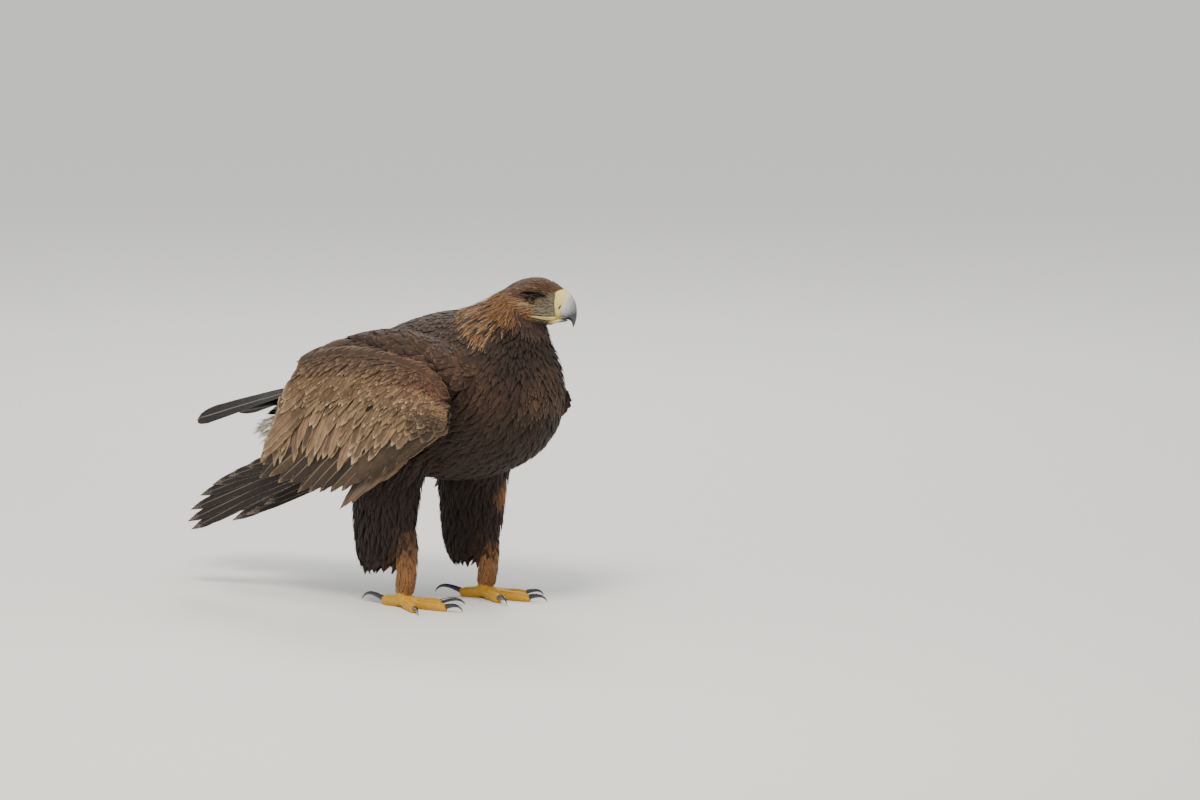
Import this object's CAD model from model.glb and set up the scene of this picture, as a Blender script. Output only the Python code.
"""Adult golden eagle as a still, life-size model: skin, plumage, bill, eyes and feet over the solids."""

import math

import bmesh
import bpy
import numpy as np
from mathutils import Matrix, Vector
from mathutils.bvhtree import BVHTree


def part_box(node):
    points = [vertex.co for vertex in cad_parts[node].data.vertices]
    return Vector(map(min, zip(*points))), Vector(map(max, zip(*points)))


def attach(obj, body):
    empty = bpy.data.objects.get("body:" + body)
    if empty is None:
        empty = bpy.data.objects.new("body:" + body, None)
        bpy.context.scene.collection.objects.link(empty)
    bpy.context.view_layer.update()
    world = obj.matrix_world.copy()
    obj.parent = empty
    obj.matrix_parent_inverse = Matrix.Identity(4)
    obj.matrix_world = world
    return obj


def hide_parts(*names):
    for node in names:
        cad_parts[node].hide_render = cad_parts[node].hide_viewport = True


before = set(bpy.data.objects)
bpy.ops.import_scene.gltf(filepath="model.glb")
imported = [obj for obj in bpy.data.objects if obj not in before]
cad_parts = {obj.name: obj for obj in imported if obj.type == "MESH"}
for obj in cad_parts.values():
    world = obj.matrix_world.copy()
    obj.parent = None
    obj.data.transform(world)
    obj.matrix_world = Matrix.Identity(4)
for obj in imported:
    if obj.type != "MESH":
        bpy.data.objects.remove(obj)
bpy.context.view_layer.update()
ROOT = "root"
draw = np.random.default_rng(41)

# Layout, in mm, as in the solids, but for the nostril, which lies lower here, where the photo has it
BODY_ROWS = [
    [-196, 356, -190, 278, 46, 0], [-150, 398, -150, 244, 66, 0], [-102, 430, -98, 224, 80, 0],
    [-50, 455, -38, 212, 89, 0], [5, 474, 22, 205, 97, 0], [36, 481, 92, 210, 102, 0],
    [54, 484, 148, 227, 104, 0], [68, 487, 199, 254, 102, 0], [80, 491, 233, 296, 96, 1],
    [91, 496, 244, 344, 86, 3], [101, 501, 237, 387, 73, 6], [111, 507, 222, 420, 60, 9],
    [124, 515, 215, 443, 50, 12], [138, 522, 208, 458, 42, 14]]
HEAD_AT, HEAD_TURN, HEAD_DIP = (190, 20, 514), 17, 4
HEAD_ROWS = [
    [-52, 4, -46, -50, 31, 0], [-38, 17, -34, -52, 34.5, 0], [-20, 27, -18, -51, 35.5, 0],
    [-2, 32, -2, -48, 33.5, 0], [13, 33, 13, -45.5, 29.5, 0], [26, 30, 26, -43.5, 24.5, 0],
    [36, 25.5, 35, -42, 19.5, 0], [44, 21, 42, -39, 15.5, 0]]
BILL_ROWS = [
    [34, 23.5, 34, -28.5, 14.2, 0], [45, 20, 44, -29.5, 13, 0], [55, 16.5, 52, -30.3, 11.6, 0],
    [64, 10, 58, -30.8, 10, 0], [71, -1, 62.5, -31.2, 8.2, 0], [74.5, -14, 65.5, -32.5, 6.2, 0],
    [75, -27, 68, -35.5, 4.2, 0], [73, -37, 69.5, -40.5, 2.2, 0]]
CERE_CUT = (53, -8, 106)
JAW_ROWS = [
    [20, -30.3, 20, -41, 12.5, 0], [34, -30.8, 34, -40.5, 11.5, 0], [46, -31.5, 46, -39.5, 9.8, 0],
    [56, -32.3, 55, -37.8, 7.2, 0]]
NOSTRIL = dict(x=48.5, z=-11.0, long=8.0, wide=2.6, deep=2.2, lean=62)
EYE = dict(x=4, y=22.6, z=0.5, r=10.6, ahead=22)
BROW_ROWS = [[-13, 32.0, 9.0, 2.1, 1.9], [9, 31.6, 9.4, 4.6, 4.2], [31, 19.8, 5.5, 2.1, 1.9]]
THIGH_ROWS = [
    [66, 286, -74, 300, 42, -52], [46, 244, -92, 252, 45, -66], [28, 202, -98, 206, 43.5, -72],
    [21, 158, -97, 158, 37, -74], [13, 112, -95, 106, 30, -75], [-8, 78, -89, 74, 23, -76]]
SHANK_ROWS = [
    [-10, -75, 150, 18, 19], [3, -76, 112, 18.5, 19], [6, -77, 66, 16.5, 17.5], [1, -77, 22, 14.5, 16]]
ANKLE = dict(x=0, y=-77)
ANKLE_ROWS = [[0, -77, 6, 13, 13], [0, -77, 27, 13, 13.6]]
LEFT_STEP, LEFT_FOOT_STEP = 72, 58
TOES = {
    "middle": dict(turn=-2, long=84, root=10, end=7.6, claw=40, rise=8),
    "inner": dict(turn=36, long=60, root=10, end=7.8, claw=46, rise=9),
    "outer": dict(turn=-42, long=66, root=9.5, end=7.2, claw=36, rise=7),
    "hind": dict(turn=172, long=44, root=11, end=8.4, claw=54, rise=13)}
WING_TOP = [[130, -146, 356], [96, -140, 394], [23, -126, 413], [-85, -112, 416], [-182, -101, 394]]
WING_LOW = [[118, -150, 286], [39, -152, 251], [-69, -150, 206], [-166, -139, 197], [-257, -119, 212]]
WING_BULGE, WRIST_BULGE = 15, 12
WRIST_ROWS = [
    [119, -135, 338, 11, 18], [98, -133, 362, 14, 22], [62, -127, 384, 14, 20], [22, -121, 396, 10, 12]]
SHOULDER_ROWS = [
    [138, -98, 372, 22, 26], [98, -98, 392, 34, 42], [38, -92, 408, 38, 47], [-30, -84, 414, 34, 42],
    [-95, -80, 410, 27, 30], [-150, -84, 399, 17, 16], [-186, -92, 390, 8, 6]]
HAND_ROWS = [[102, -131, 334, 11, 11], [52, -131, 326, 12, 13], [2, -130, 316, 12, 12]]
ARM_AT_WRIST, ARM_AT_ELBOW = 0.56, 0.32
LEFT_REACH, LEFT_REACH_FROM, LEFT_REACH_OVER = 30, -120, 240
LEFT_TUCK, LEFT_TUCK_FROM, LEFT_TUCK_OVER = 44, -170, 230
PRIMARY_ROOT = ((76, 333), (2, 313))
PRIMARY_TIPS = [[-250, 230], [-312, 200], [-368, 170], [-404, 128], [-398, 104], [-350, 132]]
PRIMARY_SIDE = dict(start=76, y=-137, closing=0.094)
TAIL_ROOT, TAIL_TIP = (-176, 0, 328), (-433, 0, 272)
TAIL_HALF, TAIL_SPREAD, TAIL_ARCH, TAIL_ROUNDED, TAIL_RAISED = 18, 22, 15, 12, 2
TAIL_ROWS = [[-196, 354, -190, 284, 43, 0], [-232, 338, -229, 283, 40, 0], [-266, 323, -264, 284, 34, 0]]


def bell(t):
    return np.sin(np.pi * np.clip(t, 0, 1))


def unit(v):
    return v / np.maximum(np.linalg.norm(v, axis=-1, keepdims=True), 1e-9)


def dot(a, b):
    return np.sum(a * b, axis=-1, keepdims=True)


def stack(x, y, z):
    return np.stack(np.broadcast_arrays(x, y, z), axis=-1).astype(float)


def step_up(low, high, v):
    """0 below low, 1 above high, eased between."""
    u = np.clip((v - low) / (high - low), 0, 1)
    return u * u * (3 - 2 * u)


def through(rows, t):
    """Values on a smooth line through rows of numbers, t from 0 to 1."""
    rows = np.asarray(rows, float)
    last = len(rows) - 1
    at = np.clip(np.asarray(t, float), 0, 1) * last
    i = np.minimum(np.floor(at).astype(int), last - 1)
    u = (at - i)[..., None]
    a, b, c, d = rows[np.maximum(i - 1, 0)], rows[i], rows[i + 1], rows[np.minimum(i + 2, last)]
    square, cube = 2 * a - 5 * b + 4 * c - d, 3 * b - a - 3 * c + d
    return 0.5 * (2 * b + (c - a) * u + square * u ** 2 + cube * u ** 3)


def profiled(rows, t, a, grow=0.0):
    """Point of a body drawn by its upper and lower outline, at angle a from the top towards +y."""
    xa, za, xb, zb, half, y = np.moveaxis(through(rows, t), -1, 0)
    up = stack((xa - xb) / 2, 0, (za - zb) / 2)
    high = np.linalg.norm(up, axis=-1, keepdims=True)
    side = stack(0, (half + grow) * np.sin(a), 0)
    return stack((xa + xb) / 2, y, (za + zb) / 2) + up / high * (high + grow) * np.cos(a)[..., None] + side


def limb(rows, t, a, grow=0.0, side=(0, 1, 0)):
    """Point of a limb along a middle line of x, y, z, half width, half height."""
    row = through(rows, t)
    ahead = unit(through(rows, np.asarray(t) + 0.03)[..., :3] - through(rows, np.asarray(t) - 0.03)[..., :3])
    side = np.broadcast_to(np.asarray(side, float), ahead.shape)
    out = unit(side - ahead * dot(side, ahead))
    up = unit(np.cross(ahead, out))
    return (row[..., :3] + out * ((row[..., 3] + grow) * np.cos(a))[..., None]
            + up * ((row[..., 4] + grow) * np.sin(a))[..., None])


def head_frame():
    turn, dip = math.radians(HEAD_TURN), math.radians(HEAD_DIP)
    about_z = np.array([[math.cos(turn), -math.sin(turn), 0], [math.sin(turn), math.cos(turn), 0], [0, 0, 1]])
    about_y = np.array([[math.cos(dip), 0, math.sin(dip)], [0, 1, 0], [-math.sin(dip), 0, math.cos(dip)]])
    return about_z @ about_y


HEAD_WAY = head_frame()


def on_head(p):
    """From the head's own axes to the layout."""
    return np.asarray(p, float) @ HEAD_WAY.T + np.array(HEAD_AT, float)


def off_head(p):
    """From the layout to the head's own axes."""
    return (np.asarray(p, float) - np.array(HEAD_AT, float)) @ HEAD_WAY


def left_thigh(p):
    return p * [1, -1, 1] + [LEFT_STEP, 0, 0]


def left_foot(p):
    return p * [1, -1, 1] + [LEFT_FOOT_STEP, 0, 0]


def left_wing(p):
    """Turned over, with the wrist held further forward and the tips tucked in."""
    front = np.clip((p[..., 0] - LEFT_REACH_FROM) / LEFT_REACH_OVER, 0, 1)
    rear = np.clip((LEFT_TUCK_FROM - p[..., 0]) / LEFT_TUCK_OVER, 0, 1)
    return stack(p[..., 0] + LEFT_REACH * front ** 2, -p[..., 1] - LEFT_TUCK * rear ** 2, p[..., 2])


def wing_face(s, t):
    """The folded wing's outer face, s from wrist to elbow and t from the upper edge to the lower."""
    top, low = through(WING_TOP, s), through(WING_LOW, s)
    t = np.asarray(t, float)
    front = (1 - s) ** 2 * bell(t)
    flat = top + (low - top) * t[..., None]
    return flat + stack(WRIST_BULGE * front, -WING_BULGE * bell(t), 0)


def primary_face(s, t):
    """The closed primaries, s across them and t from root to tip."""
    tip = through(PRIMARY_TIPS, s)
    root = [PRIMARY_ROOT[0][k] + (PRIMARY_ROOT[1][k] - PRIMARY_ROOT[0][k]) * s for k in (0, 1)]
    x = root[0] + (tip[..., 0] - root[0]) * t
    y = PRIMARY_SIDE["y"] + PRIMARY_SIDE["closing"] * (PRIMARY_SIDE["start"] - x)
    return stack(x, y, root[1] + (tip[..., 1] - root[1]) * t)


def tail_face(s, t):
    """The fan of the tail, from its right edge to its left and from root to tip."""
    t = np.asarray(t, float)
    half = TAIL_HALF + TAIL_SPREAD * np.sqrt(np.maximum(t, 0))
    across = 2 * s - 1
    x = TAIL_ROOT[0] + (TAIL_TIP[0] + TAIL_ROUNDED * across ** 2 * t - TAIL_ROOT[0]) * t
    arch = TAIL_ARCH * across ** 2 * t
    return stack(x, across * half, TAIL_ROOT[2] + (TAIL_TIP[2] - TAIL_ROOT[2]) * t + TAIL_RAISED - arch)


def on_face(face, s, t, e=0.01):
    """Point of a face and the way out of it."""
    along = face(s + e, t) - face(s - e, t)
    down = face(s, t + e) - face(s, t - e)
    return face(s, t), unit(np.cross(along, down))


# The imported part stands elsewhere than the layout: the right eye gives the way between the two
eye_low, eye_high = (np.array(v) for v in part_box("eye_right"))
SHIFT = (eye_low + eye_high) / 2 * 1000 - on_head([EYE["x"], -EYE["y"], EYE["z"]])
SHIFT[2] = 0


# Colour
def linear(code):
    """An sRGB hex colour as linear red, green and blue."""
    parts = [int(code[i:i + 2], 16) / 255 for i in (1, 3, 5)]
    return np.array([c / 12.92 if c <= 0.04045 else ((c + 0.055) / 1.055) ** 2.4 for c in parts])


def shades(n, *codes, spread=0.14):
    """n colours drawn between the given ones, each a little lighter or darker."""
    colours = np.array([linear(code) for code in codes])
    weight = draw.random((n, len(codes))) ** 2 + 0.02
    weight /= weight.sum(axis=1, keepdims=True)
    return (weight @ colours) * (1 + spread * draw.uniform(-1, 1, (n, 1)))


def blend(a, b, w):
    """From a to b by weights of 0 to 1."""
    return a + (b - a) * np.asarray(w)[..., None]


# Meshes
def mesh_object(name, points, quads, tris, vane=None, bake=None, tints=None, flat=None):
    """A mesh object from arrays in layout mm, with its maps and colours."""
    mesh = bpy.data.meshes.new(name)
    points = (points + SHIFT) / 1000
    quads, tris = np.asarray(quads).reshape(-1, 4), np.asarray(tris).reshape(-1, 3)
    corner = np.concatenate([quads.ravel(), tris.ravel()]).astype(np.int32)
    start = np.concatenate([np.arange(len(quads)) * 4,
                            len(quads) * 4 + np.arange(len(tris)) * 3]).astype(np.int32)
    mesh.vertices.add(len(points))
    mesh.vertices.foreach_set("co", points.astype(np.float32).ravel())
    mesh.loops.add(len(corner))
    mesh.loops.foreach_set("vertex_index", corner)
    mesh.polygons.add(len(start))
    mesh.polygons.foreach_set("loop_start", start)
    mesh.update(calc_edges=True)
    for title, chart in (("OFBake", bake), ("Vane", vane)):
        if chart is not None:
            layer = mesh.uv_layers.new(name=title)
            layer.data.foreach_set("uv", chart[corner].astype(np.float32).ravel())
    for title, colour in (tints or {}).items():
        store = mesh.attributes.new(title, "FLOAT_COLOR", "POINT")
        store.data.foreach_set("color", np.c_[colour, np.ones(len(colour))].astype(np.float32).ravel())
    if flat is not None:
        store = mesh.attributes.new("sharp_face", "BOOLEAN", "FACE")
        store.data.foreach_set("value", flat)
    else:
        mesh.shade_smooth()
    thing = bpy.data.objects.new(name, mesh)
    bpy.context.scene.collection.objects.link(thing)
    return thing


def loft(rings, first, last):
    """Points, quads and tris of a closed body over rings, turned so that its faces look out."""
    count, around = rings.shape[:2]
    points = np.concatenate([rings.reshape(-1, 3), [first, last]])
    i, j = np.meshgrid(np.arange(count - 1), np.arange(around), indexing="ij")
    k = (j + 1) % around
    quads = np.stack([i * around + j, (i + 1) * around + j, (i + 1) * around + k, i * around + k], -1)
    quads = quads.reshape(-1, 4)
    j = np.arange(around)
    k = (j + 1) % around
    end, top = count * around, (count - 1) * around
    tris = np.concatenate([np.stack([np.full(around, end), j, k], -1),
                           np.stack([np.full(around, end + 1), top + k, top + j], -1)])
    middle = points.mean(axis=0)
    a, b, c = (points[quads[:, n]] - middle for n in (0, 1, 2))
    if np.sum(a * np.cross(b, c)) < 0:
        quads, tris = quads[:, ::-1], tris[:, ::-1]
    return points, quads, tris


def loft_of(shape, rows, steps, around, ends, grow=0.0, place=None, **more):
    """A closed body with the given shape and rows; ends are how far its poles stand out."""
    t, a = np.meshgrid(np.linspace(0, 1, steps + 1), np.arange(around) * 2 * np.pi / around, indexing="ij")
    rings = shape(rows, t, a, grow, **more)
    middles = rings.mean(axis=1)
    first = middles[0] + unit(middles[0] - middles[1]) * (ends[0] + grow)
    last = middles[-1] + unit(middles[-1] - middles[-2]) * (ends[1] + grow)
    if place:
        rings, first, last = place(rings), place(first[None])[0], place(last[None])[0]
    return loft(rings, first, last)


def gathered(bodies):
    """Several bodies as one set of points, quads and tris."""
    points, quads, tris, base = [], [], [], 0
    for p, q, r in bodies:
        points.append(p)
        quads.append(q + base)
        tris.append(r + base)
        base += len(p)
    return np.concatenate(points), np.concatenate(quads), np.concatenate(tris)


def fused(name, bodies, voxel, rounds):
    """One closed skin over several overlapping bodies, smoothed."""
    thing = mesh_object(name, *gathered(bodies))
    melt = thing.modifiers.new("melt", "REMESH")
    melt.mode = "VOXEL"
    melt.voxel_size = voxel / 1000
    ease = thing.modifiers.new("ease", "SMOOTH")
    ease.factor = 0.5
    ease.iterations = rounds
    bpy.context.view_layer.update()
    seen = thing.evaluated_get(bpy.context.evaluated_depsgraph_get())
    mesh = bpy.data.meshes.new_from_object(seen)
    thing.modifiers.clear()
    thing.data = mesh
    mesh.shade_smooth()
    return thing


def points_of(thing):
    """Points of a mesh object in layout mm."""
    flat = np.empty(len(thing.data.vertices) * 3, np.float32)
    thing.data.vertices.foreach_get("co", flat)
    return flat.reshape(-1, 3).astype(float) * 1000 - SHIFT


def move_to(thing, points):
    """Gives a mesh object new points, in layout mm."""
    thing.data.vertices.foreach_set("co", ((points + SHIFT) / 1000).astype(np.float32).ravel())
    thing.data.update()


def tinted(thing, colours):
    """Keeps a colour at each point for the materials to read."""
    store = thing.data.attributes.new("inner", "FLOAT_COLOR", "POINT")
    store.data.foreach_set("color", np.c_[colours, np.ones(len(colours))].astype(np.float32).ravel())


def placed(shape, rows, place):
    """The face of a body by t and angle, moved by place where one is given."""
    def face(t, a):
        spot = shape(rows, t, a)
        return place(spot) if place else spot

    return face


class Ground:
    """The outer face of the coat, asked for the nearest point and the way out."""

    def __init__(self, thing):
        mesh = thing.data
        ways = np.empty(len(mesh.vertices) * 3, np.float32)
        mesh.vertices.foreach_get("normal", ways)
        ways = ways.reshape(-1, 3).astype(float)
        faces = [tuple(f.vertices) for f in mesh.polygons]
        self.ways = unit(np.array([ways[list(f)].mean(axis=0) for f in faces]))
        self.tree = BVHTree.FromPolygons([Vector(p) for p in points_of(thing)], faces)
        bpy.data.objects.remove(thing)

    def near(self, points):
        spots, ways = np.empty_like(points), np.empty_like(points)
        for n, p in enumerate(points):
            hit, _, face, _ = self.tree.find_nearest(Vector(p))
            spots[n] = hit
            ways[n] = self.ways[face]
        return spots, ways

    def cast(self, start, way):
        hit = self.tree.ray_cast(Vector(start), Vector(way))[0]
        return None if hit is None else np.array(hit)


def flesh(grow):
    """The bodies that carry the coat, each moved in by its share of the coat's depth."""
    def sides(shape, rows, steps, around, ends, inset, turned):
        one = loft_of(shape, rows, steps, around, ends, -inset * grow)
        other = loft_of(shape, rows, steps, around, ends, -inset * grow, turned)
        return [one, other]

    bodies = [loft_of(profiled, BODY_ROWS, 60, 64, [8, 4], -9 * grow),
              loft_of(profiled, HEAD_ROWS, 40, 48, [6, 1], -3.2 * grow, on_head),
              loft_of(profiled, TAIL_ROWS, 12, 32, [1, 16], -8 * grow)]
    bodies += sides(profiled, THIGH_ROWS, 40, 48, [1, 16], 9, left_thigh)
    bodies += sides(limb, SHANK_ROWS, 20, 28, [2, 1], 4, left_foot)
    bodies += sides(limb, SHOULDER_ROWS, 36, 40, [8, 6], 7, left_wing)
    return bodies


def brows(grow):
    """The ridges over the eyes."""
    turned = [[x, -y, z, w, h] for x, y, z, w, h in BROW_ROWS]
    return [loft_of(limb, rows, 12, 16, [2, 2], grow, on_head) for rows in (BROW_ROWS, turned)]


# Plumage
class Plumage:
    """Vanes gathered for one piece."""

    def __init__(self, name):
        self.name, self.parts, self.base = name, [], 0

    def add(self, mid, out, half, inner, outer, spot, rise, drop, lean=0.0, across=3, place=None, tip=0.06,
            turned=False, steps=None):
        """Closed thin vanes: middle lines and ways out (n, k, 3), half widths (n, k) or (2, n, k) by side."""
        n, k = mid.shape[:2]
        left, right = (half, half) if np.ndim(half) == 2 else half
        along = unit(np.gradient(mid, axis=1))
        side = unit(np.cross(out, along))
        u = np.linspace(-1, 1, across)
        wide = np.where(u < 0, left[..., None], right[..., None]) * u
        length = np.linalg.norm(mid[:, -1] - mid[:, 0], axis=-1)
        fade = bell(np.linspace(0.12, 0.94, k))[None, :, None]
        rise = np.broadcast_to(np.asarray(rise, float), (n,))[:, None, None]
        drop = np.broadcast_to(np.asarray(drop, float), (n,))[:, None, None]
        lean = np.broadcast_to(np.asarray(lean, float), (n,))[:, None, None]
        high = fade * (rise * (1 - np.abs(u)) ** 0.8 - drop * u ** 2) + lean * u / 2 * fade
        ring = mid[:, :, None] + side[:, :, None] * wide[..., None] + out[:, :, None] * high[..., None]
        root = mid[:, 0] - along[:, 0] * (length * 0.03)[:, None]
        end = mid[:, -1] + along[:, -1] * (length * tip)[:, None]
        each = k * across + 2
        points = np.concatenate([ring.reshape(n, -1, 3), root[:, None], end[:, None]], axis=1)
        i, j = np.meshgrid(np.arange(k - 1), np.arange(across), indexing="ij")
        m = (j + 1) % across
        quads = np.stack([i * across + j, (i + 1) * across + j, (i + 1) * across + m, i * across + m], -1)
        under = np.tile((j == across - 1).ravel(), n)
        quads = quads.reshape(-1, 4)
        j = np.arange(across)
        m = (j + 1) % across
        last = (k - 1) * across
        tris = np.concatenate([np.stack([np.full(across, each - 2), j, m], -1),
                               np.stack([np.full(across, each - 1), last + m, last + j], -1)])
        low = np.tile(np.r_[j == across - 1, j == across - 1], n)
        if turned:
            quads, tris = quads[:, ::-1], tris[:, ::-1]
        shift = (np.arange(n) * each)[:, None, None]
        quads, tris = (quads[None] + shift).reshape(-1, 4), (tris[None] + shift).reshape(-1, 3)
        steps = np.linspace(0.02, 0.95, k) if steps is None else np.asarray(steps)
        chart = np.stack(np.broadcast_arrays((u + 1) / 2, steps[:, None]), -1).reshape(-1, 2)
        chart = np.concatenate([chart, [[0.5, 0], [0.5, 1]]])
        bake = spot[:, None] + (chart[None] - 0.5) * 0.003
        points = points.reshape(-1, 3)
        if place:
            points = place(points)
        self.parts.append(dict(
            points=points, quads=quads + self.base, tris=tris + self.base, under=under, low=low,
            vane=np.tile(chart, (n, 1)), bake=np.clip(bake.reshape(-1, 2), 0.001, 0.999),
            inner=np.repeat(inner, each, axis=0), outer=np.repeat(outer, each, axis=0)))
        self.base += n * each

    def finish(self, material, slot, *nodes):
        whole = {key: np.concatenate([part[key] for part in self.parts]) for key in self.parts[0]}
        thing = mesh_object(self.name, whole["points"], whole["quads"], whole["tris"], whole["vane"],
                            whole["bake"], dict(inner=whole["inner"], outer=whole["outer"]),
                            np.r_[whole["under"], whole["low"]])
        return settled(thing, material, slot, *nodes)


def settled(thing, material, slot, *nodes):
    """Gives a piece its finish, body and slot, and the solids that it replaces."""
    thing.data.materials.clear()
    thing.data.materials.append(material)
    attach(thing, ROOT)
    if nodes:
        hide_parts(*nodes)
    return thing


def tract(surface, row, col, span=(0, 1), sign=-1):
    """Places of feathers in staggered rows over a body given by t and angle: t, angle, point, way along."""
    fine = 240
    ts = np.linspace(span[0], span[1], fine)
    angle = np.linspace(0, 2 * np.pi, 97)
    grid = surface(*np.meshgrid(ts, angle[:-1], indexing="ij"))
    step = np.linalg.norm(np.diff(grid, axis=0), axis=-1).max(axis=1)
    row_at = row(ts) if callable(row) else np.full(fine, float(row))
    reach = np.r_[0, np.cumsum(step / ((row_at[1:] + row_at[:-1]) / 2))]
    rows = np.interp(np.arange(0.3, reach[-1]), reach, ts)
    found_t, found_a = [], []
    for i, t in enumerate(rows):
        ring = surface(np.full(97, t), angle)
        arc = np.r_[0, np.cumsum(np.linalg.norm(np.diff(ring, axis=0), axis=-1))]
        wide = col(t) if callable(col) else col
        count = max(5, round(arc[-1] / wide))
        spots = (np.arange(count) + 0.5 * (i % 2) + draw.uniform(-0.22, 0.22, count)) / count * arc[-1]
        found_a.append(np.interp(np.mod(spots, arc[-1]), arc, angle))
        found_t.append(np.clip(t + draw.uniform(-0.3, 0.3, count) * (rows[1] - rows[0]), *span))
    t, a = np.concatenate(found_t), np.concatenate(found_a)
    e = 0.004
    way = unit(surface(np.clip(t + e, 0, 1), a) - surface(np.clip(t - e, 0, 1), a)) * sign
    return t, a, surface(t, a), way


def laid(ground, start, way, length, height, k, wander=0.1, stiff=0.0):
    """Middle lines that follow the coat's outer face from their roots; a stiffness of 1 is straight."""
    n = len(start)
    here, out = ground.near(start)
    way = unit(way - out * dot(way, out))
    side = np.cross(out, way)
    way = unit(way + side * draw.normal(0, wander, (n, 1)))
    mids, outs = np.empty((n, k, 3)), np.empty((n, k, 3))
    pace = (length / (k - 1))[:, None]
    stiff = np.broadcast_to(np.asarray(stiff, float), (n,))[:, None]
    for i in range(k):
        if i:
            ahead = here + way * pace
            on, turned = ground.near(ahead)
            here = on + (ahead - on) * stiff
            out = unit(turned + (out - turned) * stiff)
            way = unit(way - out * dot(way, out) * (1 - stiff))
        mids[:, i], outs[:, i] = here, out
    return mids + outs * height[..., None], outs


# Shapes of vanes: shares of the length, and of the full width there
LANCE = ([0, 0.15, 0.35, 0.6, 0.82, 1], [0.35, 0.8, 1, 0.82, 0.5, 0.16])
SOFT = ([0, 0.15, 0.4, 0.65, 0.85, 0.95, 1], [0.35, 0.78, 1, 0.93, 0.66, 0.42, 0.22])
BLUNT = ([0, 0.12, 0.3, 0.7, 0.9, 0.97, 1], [0.2, 0.5, 0.9, 1, 0.95, 0.74, 0.5])
FLIGHT = ([0, 0.12, 0.3, 0.62, 0.84, 0.94, 1], [0.2, 0.5, 0.9, 1, 0.86, 0.6, 0.34])
PRIMARY = ([0, 0.1, 0.25, 0.5, 0.68, 0.86, 0.96, 1], [0.2, 0.5, 0.95, 1, 0.76, 0.62, 0.52, 0.38])


def outline(shape, steps, wide, ragged=0.0):
    """Half widths of both sides of each vane at the given steps, worn by ragged."""
    n, k = len(wide), len(steps)
    full = np.interp(steps, *shape)[None] * wide[:, None] / 2
    wear = 1 - ragged * draw.random((2, n, k)) ** 3 * (0.3 + 0.7 * steps)
    return full[None] * wear


def on_vane(steps):
    """Where steps along a vane lie on its own map, clear of root and tip."""
    return steps * 0.95 + 0.02


def coat_tract(plumage, ground, places, keep, length, wide, inner, outer, depth=5.0, lift=1.4, shape=SOFT,
               k=6, across=3, wander=0.1, ragged=0.1, spot=None, stiff=0.0, rise=0.5, drop=1.0):
    """Body feathers over one tract, rooted in the skin and lifting towards their tips."""
    t, a, start, way = places
    n = keep.sum()
    length = np.broadcast_to(length, len(t))[keep] * draw.uniform(0.86, 1.14, n)
    wide = np.broadcast_to(wide, len(t))[keep] * draw.uniform(0.86, 1.14, n)
    steps = np.linspace(0, 1, k)
    lift = np.broadcast_to(lift, len(t))[keep] * draw.uniform(0.5, 1.5, n)
    height = -depth * (1 - steps[None]) ** 1.6 + lift[:, None] * steps[None] ** 1.5
    stiff = np.broadcast_to(np.asarray(stiff, float), len(t))[keep]
    mid, out = laid(ground, start[keep], way[keep], length, height, k, wander, stiff)
    chart = np.stack([0.03 + 0.94 * t, 0.03 + 0.94 * a / (2 * np.pi)], -1) if spot is None else spot
    half = outline(shape, steps, wide, ragged)
    plumage.add(mid, out, half, inner[keep], outer[keep], chart[keep], rise, wide * 0.06 * drop,
                across=across, steps=on_vane(steps))


# Materials
def add(tree, kind, settings=None, inputs=None):
    """One node with its settings, values and links; a node given as a value is linked by its first output."""
    made = tree.nodes.new(kind)
    for key, value in (settings or {}).items():
        setattr(made, key, value)
    for key, value in (inputs or {}).items():
        socket = made.inputs[key]
        if isinstance(value, bpy.types.Node):
            value = value.outputs[0]
        if isinstance(value, bpy.types.NodeSocket):
            tree.links.new(value, socket)
        else:
            socket.default_value = value
    return made


def rgba(code):
    return (*linear(code), 1.0)


def blank(name):
    """A new material without nodes, and its tree."""
    material = bpy.data.materials.new(name)
    material.use_nodes = True
    tree = material.node_tree
    tree.nodes.clear()
    return material, tree


KERATIN_IOR = 1.54
SKIN_IOR = 1.4
TEAR_IOR = 1.34
# In mm: bleached blotches and flecks on feathers, and clouds in bare skin
WEAR_BLOTCH = 12.5
WEAR_FLECK = 3.0
SKIN_CLOUD = 6.25


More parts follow.
